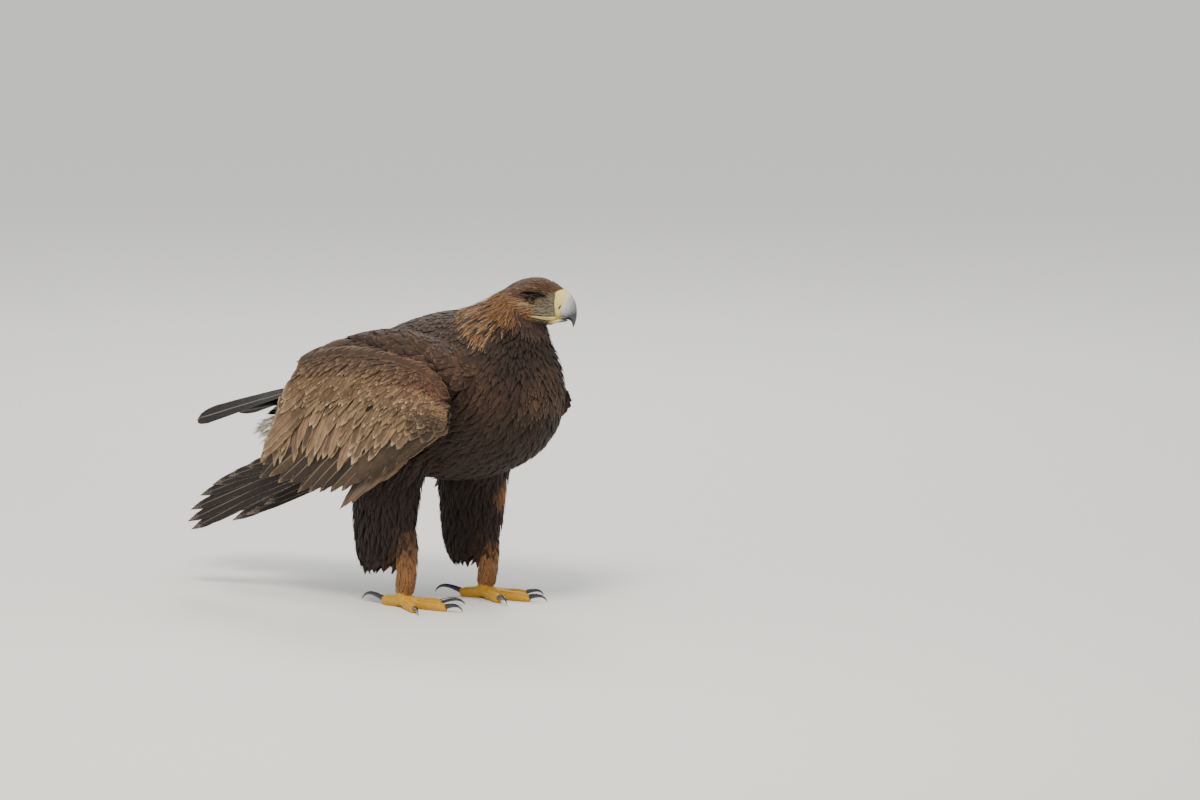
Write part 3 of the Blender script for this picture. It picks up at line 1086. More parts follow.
def flight_feathers(side, place, turned):
    """Secondaries, primaries and the greater coverts over the roots of the primaries."""
    flight = Plumage(f"flight_feathers_{side}")
    count = 17
    s = np.linspace(0.0, 0.95, count)
    end = s + 0.27
    over = np.clip(end - 1, 0, None)
    start = np.stack([s, np.full(count, 0.34)], -1)
    finish = np.stack([np.minimum(end, 1), 1.0 - over * 1.7 + draw.normal(0, 0.014, count)], -1)
    tone = shades(count, "#43352a", "#34291f", "#55442f", "#2b221b", spread=0.2)
    rim = shades(count, "#8f7a5d", "#a68f6c", "#6f5d47", spread=0.2)
    face_vanes(flight, wing_face, start, finish, np.full(count, SECONDARY_WIDE), (-11, -8.5), tone, rim,
               FLIGHT, 26, 9, place, turned, lean=3.4, ragged=0.16, rise=1.4, drop=0.04)
    count = 10
    s = np.linspace(0, 1, count)
    start, finish = np.stack([s, s * 0], -1), np.stack([s, s * 0 + 1], -1)
    tone = shades(count, "#1d1815", "#26201b", "#2e2721")
    rim = shades(count, "#8d8478", "#766d62")
    out = unit(np.array([-PRIMARY_SIDE["closing"], -1.0, 0.0]))
    chart = np.stack([0.05 + 0.9 * s, s * 0 + 0.85], -1)
    height = (0, 0, -PRIMARY_STEP * np.arange(count))
    face_vanes(flight, primary_face, start, finish, np.full(count, PRIMARY_WIDE), height, tone, rim, PRIMARY,
               34, 9, place, turned, lean=0.0, ragged=0.12, rise=0.9, drop=0.015, chart=chart, flat_out=out)
    # Greater primary coverts over the roots of the primaries
    count = 9
    s = np.linspace(0.02, 0.9, count)
    start, finish = np.stack([s, s * 0 + 0.02], -1), np.stack([s, 0.34 + 0.06 * draw.random(count)], -1)
    tone = shades(count, "#3a2e24", "#2c231c")
    rim = shades(count, "#7f6d55", "#665743")
    chart = np.stack([0.05 + 0.9 * s, s * 0 + 0.95], -1)
    height = (6, 3.0, -PRIMARY_STEP * np.arange(count))
    face_vanes(flight, primary_face, start, finish, np.full(count, PRIMARY_COVERT_WIDE), height, tone, rim,
               SOFT, 16, 7, place, turned, lean=0.0, ragged=0.2, rise=0.8, drop=0.02, chart=chart,
               flat_out=out)
    flight.finish(flight_vane, "flight_feather", f"wing_tip_{side}")


def wing_coverts(side, place, turned):
    """The tiers of coverts over the outer face, from the longest at the bottom to the smallest on top."""
    coverts = Plumage(f"wing_coverts_{side}")
    # The alula and the long front coverts hang below the wrist, grey brown with tawny roots
    count = 11
    u = np.linspace(0, 1, count)
    start = np.stack([0.04 + 0.24 * u, 0.42 - 0.04 * u], -1)
    finish = np.stack([0.24 + 0.25 * u, 1.03 + 0.14 * u + draw.normal(0, 0.02, count)], -1)
    tone = blend(shades(count, "#55483c", "#443930", "#625446"), shades(count, "#80572f"), 0.7 * (1 - u) ** 2)
    height = (-15, -17, draw.uniform(-1, 1, count))
    face_vanes(coverts, wing_face, start, finish, np.full(count, ALULA_WIDE), height, tone,
               shades(count, "#6a5946", "#776149"), SOFT, 20, 7, place, turned, lean=2.4, ragged=0.25,
               rise=1.0, drop=0.05)
    for row, count, reach, wide, height in GREATER_COVERTS:
        s = np.linspace(0.02, 0.98, count) + draw.normal(0, 0.012, count)
        covert_tier(coverts, s, row - 0.10 * s, reach * (0.8 + 0.42 * s), 0.04, wide, height, BUFF, BUFF_RIM,
                    SOFT, 16, 7, place, turned, 0.36)
    for row in range(4):
        s = np.linspace(0.01, 0.99, 25) + 0.5 * (row % 2) / 25 + draw.normal(0, 0.01, 25)
        covert_tier(coverts, s, 0.31 - 0.05 * row - 0.09 * s, 0.24 - 0.015 * row, 0.05, 20 - row,
                    (-3.5 + 0.7 * row, -0.4 + 0.7 * row), BUFF, BUFF_RIM, SOFT, 10, 5, place, turned, 0.34)
    for row in range(14):
        s = (np.arange(34) + 0.5 * (row % 2)) / 34 + draw.normal(0, 0.007, 34)
        slope = 0.27 - 0.031 * row + draw.normal(0, 0.009, 34) - 0.06 * s
        slope = np.where(s < 0.5, slope + (0.5 - s) * 0.36 * (1 - row / 16), slope)
        tone, rim = (LESSER, LESSER_RIM) if row < 9 else (TOPMOST, TOPMOST_RIM)
        covert_tier(coverts, s, slope, 0.13, 0.035, 14.6 + 0.15 * row, (-1.6, 1.7), tone, rim, SOFT, 7, 5,
                    place, turned, 0.3)
    # Worn inner feathers along the rear edge trail past the others
    count = 12
    u = np.linspace(0, 1, count)
    start = np.stack([0.84 + 0.04 * draw.random(count), 0.02 + 0.5 * u], -1)
    finish = np.stack([np.full(count, 1.0) + draw.normal(0, 0.02, count), 0.36 + 0.56 * u], -1)
    wide = draw.uniform(20, 26, count)
    height = (-3, 1.0, draw.uniform(-1, 1, count))
    tone = shades(count, *BUFF, spread=0.2)
    rim = shades(count, *BUFF_RIM, spread=0.2)
    face_vanes(coverts, wing_face, start, finish, wide, height, tone, rim, SOFT, 14, 7, place, turned,
               lean=1.5, ragged=0.35, rise=0.8, drop=0.04)
    coverts.finish(worn_vane, "covert_feather", f"wing_{side}")


def wing_lining(side, place, turned):
    """Dark coverts on the inner face, over the arm and the roots of the flight feathers."""
    lining = Plumage(f"wing_lining_{side}")
    steps = np.linspace(0, 1, 7)
    for row in range(8):
        count = 24
        s = 0.01 + (np.arange(count) + 0.5 * (row % 2)) / count * 0.95 + draw.normal(0, 0.006, count)
        along_s = np.clip(s[:, None] + 0.045 * steps, 0, 1)
        deep = row / 8 + 0.3 * steps + draw.normal(0, 0.01, count)[:, None]
        mid, out = on_face(wing_face, along_s, deep * arm_share(s)[:, None])
        bulge = np.sqrt(np.clip(16 * deep * (1 - deep) * along_s * (1 - along_s), 0, 1))
        lift = np.maximum(6.6 + 11 * bulge, 13.5 * step_up(0.6, 1, deep)) + 1.8 * steps
        inner = shades(count, *LINING, spread=0.2)
        outer = shades(count, *LINING_RIM, spread=0.2)
        chart = np.stack([np.clip(0.05 + 0.9 * s, 0, 1), np.full(count, 0.05 + 0.1 * row)], -1)
        half = outline(SOFT, steps, draw.uniform(20, 25, count), 0.3)
        lining.add(mid - out * lift[..., None], -out, half, inner, outer, chart, rise=0.6, drop=0.7, across=5,
                   place=place, tip=0.05, turned=turned, steps=on_vane(steps))
    # Smaller ones clothe the inner side of wrist and hand
    arm = [loft_of(limb, rows, 20, 24, [6, 5], 0, place) for rows in (WRIST_ROWS, HAND_ROWS)]
    arm_ground = Ground(fused(f"arm_face_{side}", arm, 2.0, 2))
    for rows in (WRIST_ROWS, HAND_ROWS):
        places = tract(placed(limb, rows, place), 8, 7, (0.0, 0.97), sign=1)
        t, a, spot, way = places
        middle = np.interp(t, np.linspace(0, 1, len(rows)), [row[1] for row in rows])
        keep = limb(rows, t, a)[:, 1] > middle - 1.5
        n = len(t)
        inner = shades(n, *LINING, spread=0.2)
        outer = shades(n, *LINING_RIM, spread=0.2)
        coat_tract(lining, arm_ground, (t, a, spot, unit(way - [0, 0, 0.7])), keep, 23, 14, inner, outer,
                   depth=3.5, lift=1.6, k=6, across=5, shape=SOFT, ragged=0.3, wander=0.15)
    lining.finish(contour_vane, "shoulder_feather")


for side, place in (("right", None), ("left", left_wing)):
    flight_feathers(side, place, place is not None)
    wing_coverts(side, place, place is not None)
    wing_lining(side, place, place is not None)

# The hindmost scapulars, worn to buff, end in a point over the elbow
ELBOW_ROOT, ELBOW_TIP = (-118, -100, 410), (-188, -98, 394)
rear = Plumage("rear_scapulars")
for turned in (None, left_wing):
    # First the scapulars that fall over the top edge of the folded wing, so that no gap shows from above
    for row in range(5):
        count = 30
        s = (np.arange(count) + 0.5 * (row % 2)) / count * 0.9 + draw.normal(0, 0.009, count)
        edge, side = on_face(wing_face, s, s * 0)
        top = on_face(wing_face, s + 0.05, s * 0)[0]
        over_edge = 0.02 + 0.035 * (4 - row) + s * 0
        low = on_face(wing_face, s + 0.12 + draw.normal(0, 0.012, count), over_edge)[0]
        first = edge - side * (5.0 + 4 * row) + [0, 0, 1.0 + 0.8 * row]
        middle = top + side * (0.5 + 0.8 * row) + [0, 0, 2.5 + 0.8 * row]
        last = low + side * (4.2 + 0.9 * row)
        turn = 2 * middle - (first + last) / 2
        steps = np.linspace(0, 1, 9)
        u = steps[None, :, None]
        mid = first[:, None] * (1 - u) ** 2 + 2 * turn[:, None] * u * (1 - u) + last[:, None] * u ** 2
        out = unit(np.array([0, 0, 1.0]) * (1.05 - u) + side[:, None] * (0.3 + u))
        rufous = step_up(0.55, 0.1, s)
        inner = blend(shades(count, "#3a2d23", "#473628", "#2e231b"), shades(count, "#4c3222", "#3d291d"),
                      rufous)
        outer = blend(shades(count, "#7a614a", "#69523e", "#8b6f53"), shades(count, "#7b5740", "#6a4a35"),
                      rufous)
        chart = np.stack([0.05 + 0.4 * s + (0.5 if turned else 0), np.full(count, 0.1 + 0.06 * row)], -1)
        half = outline(SOFT, steps, draw.uniform(17, 23, count), 0.3)
        rear.add(mid, out, half, inner, outer, np.clip(chart, 0, 1), rise=0.7, drop=0.8, across=7,
                 place=turned, tip=0.05, turned=turned is not None, steps=on_vane(steps))
    count = 14
    j = np.clip(np.arange(count) - 3, 0, None)
    steps = np.linspace(0, 1, 12)
    scatter = draw.normal(0, 1, (count, 3)) * [4, 1.5, 2]
    tip = ELBOW_TIP + scatter + j[:, None] * [4.2, -0.2, 1.7]
    scatter = draw.normal(0, 1, (count, 3)) * [7, 2, 3]
    root = ELBOW_ROOT + scatter + j[:, None] * [4.2, 0.4, 1.2]
    arch = np.array([0, 0, 4.0]) * bell(steps)[:, None]
    mid = root[:, None] + (tip - root)[:, None] * steps[None, :, None] + arch
    out = np.broadcast_to(unit(np.array([0.1, -0.75, 0.72])), mid.shape)
    high = out * (1.0 + 0.7 * j - 1.0 * (3 - np.arange(count)).clip(0))[:, None, None]
    pale = (j == 0).astype(float)
    inner = blend(shades(count, "#453528", "#362a20", "#54412f"), shades(count, "#7d6447", "#8a7050"), pale)
    outer = blend(shades(count, "#7d654b", "#6c5540", "#8c7355"), shades(count, "#b0946a", "#bda278"), pale)
    chart = np.stack([0.05 + 0.03 * np.arange(count) + (0.5 if turned else 0), np.full(count, 0.5)], -1)
    half = outline(SOFT, steps, draw.uniform(14, 18, count), 0.3)
    rear.add(mid + high, out, half, inner, outer, chart, rise=0.8, drop=1.0, across=7, place=turned,
             tip=0.05, turned=turned is not None, steps=on_vane(steps))
rear.finish(worn_vane, "shoulder_feather")


# Tail
def tail_below(s, t):
    """The tail's face taken the other way round, so that the vanes' ribbed side looks down."""
    return tail_face(1 - s, t)


tail = Plumage("tail_feathers")
count = 12
s = np.linspace(0, 1, count)
from_middle = np.abs(np.arange(count) - (count - 1) / 2)
level = 2 * np.floor(from_middle) + (np.arange(count) < count / 2)
start, finish = np.stack([s, np.full(count, 0.08)], -1), np.stack([s, np.full(count, 0.985)], -1)
face_vanes(tail, tail_below, start, finish, np.full(count, TAIL_WIDE), (0, 0, -level * 2.1),
           shades(count, "#1c1714", "#15110f"), shades(count, "#4a4037", "#393028"), BLUNT, 30, 9, None,
           False, lean=0.0, ragged=0.01, rise=1.2, drop=0.05, tip=0.02)
# Two rows of coverts under the tail, the shorter one lowest
count = 9
for row, reach, wide, tone, rim in ((0, 0.5, 34.0, ("#2c231d", "#3a2e26"), ("#5d4d40", "#6f5d4c")),
                                    (1, 0.38, 32.0, ("#33291f", "#42342a"), ("#6b5846", "#5d4c3e"))):
    s = np.linspace(0.06, 0.94, count)
    start, finish = np.stack([s, np.full(count, 0.06)], -1), np.stack([s, np.full(count, reach)], -1)
    face_vanes(tail, tail_below, start, finish, np.full(count, wide), (14 + 3 * row, 6.5 + 4 * row),
               shades(count, *tone), shades(count, *rim), SOFT, 14, 7, None, False, lean=0.0, ragged=0.2,
               rise=0.9, drop=0.05)
tail.finish(flight_vane, "flight_feather", "tail")

under = Plumage("vent_down")
places = tract(lambda t, a: profiled(TAIL_ROWS, t, a), 6, 6, (0.05, 1.0), sign=1)
t, a, spot, way = places
keep = on_coat(places, 4)
low = step_up(0.1, -0.4, np.cos(a))
n = len(t)
inner = blend(shades(n, "#33281f", "#40332a"), shades(n, "#8d8478", "#a89f92"), low * 0.6)
outer = blend(shades(n, "#5a4a3c", "#6b5a4a"), shades(n, "#cfc8bb", "#e3ddd2"), low)
coat_tract(under, ground, places, keep, 34, 12, inner, outer, depth=7, lift=2.4, shape=LANCE, k=6,
           ragged=0.3, wander=0.2, stiff=step_up(0.6, 0.9, t), drop=0.4)
# A loose white tuft hangs out behind the near thigh, below the tail
TUFT_AT = (-252, -34, 284)
count = 260
start = TUFT_AT + draw.normal(0, 1, (count, 3)) * [10, 11, 6]
way = unit(np.array([-0.93, -0.06, -0.34]) + draw.normal(0, 0.1, (count, 3)))
length = draw.uniform(26, 58, count)
steps = np.linspace(0, 1, 8)
mid = start[:, None] + way[:, None] * length[:, None, None] * steps[None, :, None]
curl = draw.normal(0, 1, (count, 1, 3)) * [2, 4, 4] - np.array([0, 0, 4.0])
mid = mid + curl * (steps ** 2)[None, :, None] * 1.5
out = np.broadcast_to(unit(np.cross(way, unit(draw.normal(0, 1, (count, 3)))))[:, None], mid.shape)
chart = np.stack([0.5 + 0.4 * draw.random(count), 0.2 + 0.6 * draw.random(count)], -1)
half = outline(LANCE, steps, draw.uniform(4, 7, count), 0.5)
inner = shades(count, "#d8d2c6", "#b5aea2")
outer = shades(count, "#f2eee6", "#e6e1d8")
under.add(mid, out, half, inner, outer, chart, rise=0.4, drop=0.3)
under.finish(contour_vane, "back_feather")

# Bill, eyes and face

# Cere: smooth waxy skin over the root of the bill, pale yellow, with faint creases about 0.8 mm apart
cere_skin = bare_skin("waxy_cere_skin", "#dccf8b", "#cdbe78", 0.8, 0.42, 0.14, 0.15)
# Bill: pale horn that darkens to a slate tip, softly polished, cloudy over about 4 mm
bill_horn = horn("bill_horn", 3.8, 0.3, 0.3)
# Claws: the same horn, black and glossier
claw_horn = horn("claw_horn", 3.3, 0.26, 0.4)
# Toes: yellow skin in small raised scales, about 2.4 mm across
toe_skin = bare_skin("scaled_toe_skin", "#e9bd3c", "#b98a24", 2.4, 0.5, 0.8, 0.08)
# Lids: thin dark skin with creases finer than a millimetre
lid_skin = bare_skin("eyelid_skin", "#8d8a78", "#5a5648", 0.85, 0.5, 0.4, 0.1)


def parted(name, body, keep_above):
    """One side of the bill's cut, closed where it was cut."""
    thing = mesh_object(name, *body)
    slope = math.radians(CERE_CUT[2])
    way = HEAD_WAY @ np.array([math.sin(slope), 0, math.cos(slope)])
    spot = on_head([CERE_CUT[0], 0, CERE_CUT[1]])
    work = bmesh.new()
    work.from_mesh(thing.data)
    cut = bmesh.ops.bisect_plane(work, geom=work.verts[:] + work.edges[:] + work.faces[:],
                                 plane_co=Vector((spot + SHIFT) / 1000), plane_no=Vector(way),
                                 clear_inner=keep_above, clear_outer=not keep_above)
    edges = [e for e in cut["geom_cut"] if isinstance(e, bmesh.types.BMEdge)]
    bmesh.ops.holes_fill(work, edges=edges, sides=0)
    bmesh.ops.triangulate(work, faces=[f for f in work.faces if len(f.verts) > 4])
    work.to_mesh(thing.data)
    work.free()
    thing.data.set_sharp_from_angle(angle=math.radians(40))
    return thing, spot, way


bill = loft_of(profiled, BILL_ROWS, 90, 64, [1, 4.5], 0.0, on_head)
swollen = loft_of(profiled, BILL_ROWS, 90, 64, [1, 4.5], 0.35, on_head)
cere, cut_spot, cut_way = parted("soft_cere", swollen, False)
p = points_of(cere)
local = off_head(p)
lean = math.radians(NOSTRIL["lean"])
du = (local[:, 0] - NOSTRIL["x"]) * math.cos(lean) + (local[:, 2] - NOSTRIL["z"]) * math.sin(lean)
dv = -(local[:, 0] - NOSTRIL["x"]) * math.sin(lean) + (local[:, 2] - NOSTRIL["z"]) * math.cos(lean)
hole = step_up(1.25, 0.75, np.sqrt((du / (NOSTRIL["long"] / 2)) ** 2 + (dv / (NOSTRIL["wide"] / 2)) ** 2))
hole *= np.abs(local[:, 1]) > 4
move_to(cere, on_head(local - stack(0, np.sign(local[:, 1]) * NOSTRIL["deep"] * hole, 0)))
tinted(cere, blend(np.ones((len(p), 3)), np.full((len(p), 3), 0.02), hole))
settled(cere, cere_skin, "cere_skin", "cere")

beak, _, _ = parted("horn_upper", bill, True)
p = points_of(beak)
ahead = dot(p - cut_spot, cut_way)[:, 0]
low = off_head(p)[:, 2]
dark = np.clip(step_up(6, 21, ahead) * 0.62 + step_up(-10, -32, low) * 0.75, 0, 1)
base = blend(np.tile(linear("#c6c5b0"), (len(p), 1)), np.tile(linear("#a3a8a9"), (len(p), 1)),
             step_up(1, 8, ahead))
tinted(beak, blend(base, np.tile(linear("#2b2e33"), (len(p), 1)), dark))
settled(beak, bill_horn, "bill_horn", "bill_upper")

jaw = mesh_object("horn_lower", *loft_of(profiled, JAW_ROWS, 40, 48, [1, 6], 0.0, on_head))
p = off_head(points_of(jaw))
p = p + stack(0, 0, 1.9 * step_up(38, 48, p[:, 0]))
move_to(jaw, on_head(p))
dark = step_up(42, 56, p[:, 0])
tinted(jaw, blend(np.tile(linear("#cdbb76"), (len(p), 1)), np.tile(linear("#4a4b4c"), (len(p), 1)), dark))
settled(jaw, bill_horn, "bill_horn", "bill_lower")


def eye_material():
    """An eye: amber iris with fibres towards a black pupil, a dark rim, and a wet clear cornea over it."""
    material, tree = blank("wet_eye")
    chart = add(tree, "ShaderNodeUVMap", {"uv_map": "Vane"})
    split = add(tree, "ShaderNodeSeparateXYZ", None, {0: chart})
    # The way round the eye, and the way off its middle: the pupil ends at 0.1, the iris at 0.22
    turn, off = split.outputs[0], split.outputs[1]
    spokes = add(tree, "ShaderNodeMath", {"operation": "MULTIPLY"}, {0: turn, 1: 90.0})
    fibre = add(tree, "ShaderNodeTexNoise", {"noise_dimensions": "1D"}, {"W": spokes})
    amber = add(tree, "ShaderNodeMix", {"data_type": "RGBA"},
                {0: fibre, 6: rgba("#3b2210"), 7: rgba("#7d4e1e")})
    inside = add(tree, "ShaderNodeMapRange", None, {"Value": off, "From Min": 0.095, "From Max": 0.17})
    ringed = add(tree, "ShaderNodeMix", {"data_type": "RGBA"},
                 {0: inside, 6: rgba("#27150a"), 7: amber.outputs[2]})
    open_at = add(tree, "ShaderNodeMapRange", None, {"Value": off, "From Min": 0.098, "From Max": 0.104})
    pupil = add(tree, "ShaderNodeMix", {"data_type": "RGBA"},
                {0: open_at, 6: rgba("#020202"), 7: ringed.outputs[2]})
    rim = add(tree, "ShaderNodeMapRange", None, {"Value": off, "From Min": 0.2, "From Max": 0.235})
    whole = add(tree, "ShaderNodeMix", {"data_type": "RGBA"},
                {0: rim, 6: pupil.outputs[2], 7: rgba("#120d0a")})
    shader = add(tree, "ShaderNodeBsdfPrincipled", None, {
        "Base Color": whole.outputs[2], "Roughness": 0.08, "IOR": TEAR_IOR, "Specular IOR Level": 0.25,
        "Coat Weight": 0.35, "Coat Roughness": 0.02})
    add(tree, "ShaderNodeOutputMaterial", None, {"Surface": shader})
    return material


def hoop(rings):
    """Points and quads of a closed ring-shaped body."""
    count, around = rings.shape[:2]
    i, j = np.meshgrid(np.arange(count), np.arange(around), indexing="ij")
    i2, k = (i + 1) % count, (j + 1) % around
    quads = np.stack([i * around + j, i * around + k, i2 * around + k, i2 * around + j], -1).reshape(-1, 4)
    points = rings.reshape(-1, 3)
    a, b, c = (points[quads[:, n]] - points.mean(axis=0) for n in (0, 1, 2))
    if np.sum(a * np.cross(b, c)) < 0:
        quads = quads[:, ::-1]
    return points, quads, np.zeros((0, 3), int)


wet_eye = eye_material()
# The opening of the lids in mm from the middle of the eye, and their section: share of the way out, height
LID_HALF, LID_UP, LID_DOWN = 6.6, 3.9, 4.5
LID_SECTION = ((0, 0.15), (0, 0.85), (0.12, 1.15), (0.3, 0.95), (0.6, 0.75), (1, 0.3), (1, -0.5), (0.5, -0.3))
for side, sign in (("right", -1), ("left", 1)):
    ahead = math.radians(EYE["ahead"])
    look = np.array([math.sin(ahead), sign * math.cos(ahead), 0])
    flat = np.array([math.cos(ahead), -sign * math.sin(ahead), 0])
    rise = np.array([0, 0, 1.0])
    middle = np.array([EYE["x"], sign * EYE["y"], EYE["z"]])
    theta, turn = np.meshgrid(np.linspace(0.02, math.pi - 0.02, 48), np.arange(64) * 2 * np.pi / 64,
                              indexing="ij")
    bulge = EYE["r"] * (1 + 0.03 * np.exp(-(theta / 0.5) ** 2))
    around = flat * np.cos(turn)[..., None] + rise * np.sin(turn)[..., None]
    ring = middle + look * (bulge * np.cos(theta))[..., None] + around * (bulge * np.sin(theta))[..., None]
    ball = loft(on_head(ring), on_head(middle + look * bulge[0, 0]), on_head(middle - look * EYE["r"]))
    chart = np.stack([turn / (2 * np.pi), theta / np.pi], -1).reshape(-1, 2)
    chart = np.concatenate([chart, [[0.5, 0], [0.5, 1]]])
    bearing = chart[:, 0] * 2 * np.pi
    bake = 0.5 + np.stack([chart[:, 1] * np.cos(bearing), chart[:, 1] * np.sin(bearing)], -1) * 0.45
    settled(mesh_object(f"eye_{side}_ball", *ball, chart, bake), wet_eye, "eye", f"eye_{side}")
    # Lids: a thin shell over the ball with an almond opening, its rim a little thicker
    turn = np.linspace(0, 2 * np.pi, 72, endpoint=False)
    x = LID_HALF * np.cos(turn)
    z = np.where(np.sin(turn) > 0, LID_UP, LID_DOWN) * np.sin(turn) - 0.5 + 0.05 * np.cos(turn)
    x = x * (1 - 0.05 * np.abs(np.sin(turn)))
    open_at, bearing = np.arcsin(np.hypot(x, z) / EYE["r"]), np.arctan2(z, x)
    outer_at = math.asin(0.93)
    rings = []
    for part, lift in LID_SECTION:
        theta = open_at + (outer_at - open_at) * part
        around = flat * np.cos(bearing)[:, None] + rise * np.sin(bearing)[:, None]
        r = EYE["r"] + lift
        rings.append(middle + look * (r * np.cos(theta))[:, None] + around * (r * np.sin(theta))[:, None])
    lids = mesh_object(f"eye_{side}_lids", *hoop(on_head(np.stack(rings, axis=1))))
    height = np.tile(np.sin(bearing), (len(rings), 1)).T.ravel()
    tinted(lids, blend(np.tile(linear("#8d7a5e"), (len(height), 1)),
                       np.tile(linear("#2f2822"), (len(height), 1)), step_up(-0.5, 0.1, height)))
    settled(lids, lid_skin, "cere_skin")

# The yellow edges of the gape run from the bill back under the eye
GAPE_LONG, GAPE_LEVEL = 55, -29.6
for side, sign in (("right", -1), ("left", 1)):
    for name, above, thick in (("upper", 1.7, 2.6), ("lower", -2.1, 2.5)):
        rows = []
        for u in np.linspace(0, 1, 22):
            x = GAPE_LONG - GAPE_LONG * u
            z = GAPE_LEVEL + 2.6 * u - 1.6 * float(bell(u)) + above * (1 - 0.8 * u)
            spot = face_ground.cast(on_head([x, sign * 60, z]), HEAD_WAY @ np.array([0, -sign, 0.0]))
            size = thick * (0.3 + 0.7 * float(step_up(0, 0.3, u))) * (1 - 0.8 * u)
            if spot is not None:
                rows.append([*(spot - HEAD_WAY @ np.array([0, sign, 0.0]) * 0.3), size * 0.6, size])
        lip = mesh_object(f"gape_{name}_{side}", *loft_of(limb, rows, 60, 12, [0.5, 0.5], 0.0))
        where = off_head(points_of(lip))[:, 0]
        tinted(lip, blend(np.tile(linear("#f2eedd"), (len(where), 1)),
                          np.tile(linear("#c7b184"), (len(where), 1)), step_up(15, 0, where)))
        settled(lip, cere_skin, "cere_skin")


# Feet
def toe_rows(kind):
    """A toe's middle line with its half widths and heights, swollen a little at the root."""
    turn = math.radians(kind["turn"])
    x, y, long = math.cos(turn), math.sin(turn), kind["long"]
    sizes = ((0, kind["root"], 2), (0.3, kind["root"] * 0.92, 0), (0.55, kind["root"] * 0.8, 0),
             (0.8, kind["end"], 0), (1, kind["end"] * 0.78, 0))
    return [[ANKLE["x"] + x * part * long, ANKLE["y"] + y * part * long, r - 0.9 + up, r, r]
            for part, r, up in sizes]


def across_toe(kind):
    """The way across a toe, level with the floor."""
    turn = math.radians(kind["turn"])
    return -math.sin(turn), math.cos(turn), 0


def claw_rows(kind):
    """A claw's middle line: up out of the toe, then down to its point just clear of the floor."""
    turn = math.radians(kind["turn"])
    rows = []
    for t in np.linspace(0, 1, 9):
        along = kind["long"] - 5 + kind["claw"] * math.sin(t * 1.35)
        r = kind["end"] * 0.62 + (0.5 - kind["end"] * 0.62) * t ** 1.1
        z = kind["end"] * 0.85 + (1.2 - kind["end"] * 0.85) * t * t
        z += kind["rise"] * float(bell(t * 0.9)) * 0.8
        rows.append([ANKLE["x"] + math.cos(turn) * along, ANKLE["y"] + math.sin(turn) * along,
                     max(z, r + 0.6), r * 0.82, r])
    return rows


def scute_tree():
    """Overlapping scutes along the top of a toe: a path, a plate at each step, smaller towards the claw."""
    tree = bpy.data.node_groups.new("toe_scutes", "GeometryNodeTree")
    face = tree.interface
    face.new_socket("Geometry", in_out="INPUT", socket_type="NodeSocketGeometry")
    inputs = {}
    for title, kind, value in (("Scutes", "NodeSocketInt", 12),
                               ("Root half width", "NodeSocketFloat", 0.008),
                               ("End half width", "NodeSocketFloat", 0.006),
                               ("Half length", "NodeSocketFloat", 0.0026),
                               ("Half thickness", "NodeSocketFloat", 0.0016),
                               ("Finish", "NodeSocketMaterial", None)):
        socket = face.new_socket(title, in_out="INPUT", socket_type=kind)
        if value is not None:
            socket.default_value = value
        inputs[title] = socket.identifier
    face.new_socket("Geometry", in_out="OUTPUT", socket_type="NodeSocketGeometry")
    given = add(tree, "NodeGroupInput").outputs
    path = add(tree, "GeometryNodeResampleCurve", None,
               {"Curve": given["Geometry"], "Count": given["Scutes"]})
    plate = add(tree, "GeometryNodeMeshUVSphere", None, {"Segments": 14, "Rings": 8, "Radius": 1.0})
    along = add(tree, "GeometryNodeInputTangent")
    way = add(tree, "FunctionNodeAlignEulerToVector", {"axis": "X", "pivot_axis": "Z"}, {"Vector": along})
    part = add(tree, "GeometryNodeSplineParameter")
    wide = add(tree, "ShaderNodeMapRange", None,
               {"Value": part.outputs["Factor"], "To Min": given["Root half width"],
                "To Max": given["End half width"]})
    size = add(tree, "ShaderNodeCombineXYZ", None,
               {"X": given["Half length"], "Y": wide, "Z": given["Half thickness"]})
    set_out = add(tree, "GeometryNodeInstanceOnPoints", None,
                  {"Points": path, "Instance": plate.outputs["Mesh"], "Rotation": way, "Scale": size})
    real = add(tree, "GeometryNodeRealizeInstances", None, {"Geometry": set_out})
    done = add(tree, "GeometryNodeSetMaterial", None, {"Geometry": real, "Material": given["Finish"]})
    add(tree, "NodeGroupOutput", None, {0: done})
    return tree, inputs


scutes, scute_inputs = scute_tree()


def scute_row(name, kind, place):
    """The scutes of one toe as a plain mesh."""
    line = bpy.data.curves.new(name + "_path", "CURVE")
    line.dimensions = "3D"
    spline = line.splines.new("POLY")
    rows = through(toe_rows(kind), np.linspace(0.34, 0.99, 24))
    spots = stack(rows[:, 0], rows[:, 1], rows[:, 2] + rows[:, 4] * 0.86)
    spots = place(spots) if place else spots
    spline.points.add(len(spots) - 1)
    for point, spot in zip(spline.points, (spots + SHIFT) / 1000):
        point.co = (*spot, 1.0)
    path = bpy.data.objects.new(name + "_path", line)
    bpy.context.scene.collection.objects.link(path)
    grown = path.modifiers.new("scutes", "NODES")
    grown.node_group = scutes
    grown[scute_inputs["Scutes"]] = round(kind["long"] * 0.65 / 4.2)
    grown[scute_inputs["Root half width"]] = kind["root"] * 0.72 / 1000
    grown[scute_inputs["End half width"]] = kind["end"] * 0.66 / 1000
    grown[scute_inputs["Finish"]] = toe_skin
    bpy.context.view_layer.update()
    seen = path.evaluated_get(bpy.context.evaluated_depsgraph_get())
    plates = bpy.data.objects.new(name, bpy.data.meshes.new_from_object(seen))
    bpy.data.objects.remove(path)
    bpy.context.scene.collection.objects.link(plates)
    plates.data.shade_smooth()
    tinted(plates, np.full((len(plates.data.vertices), 3), 1.0))
    return settled(plates, toe_skin, "toe_skin")


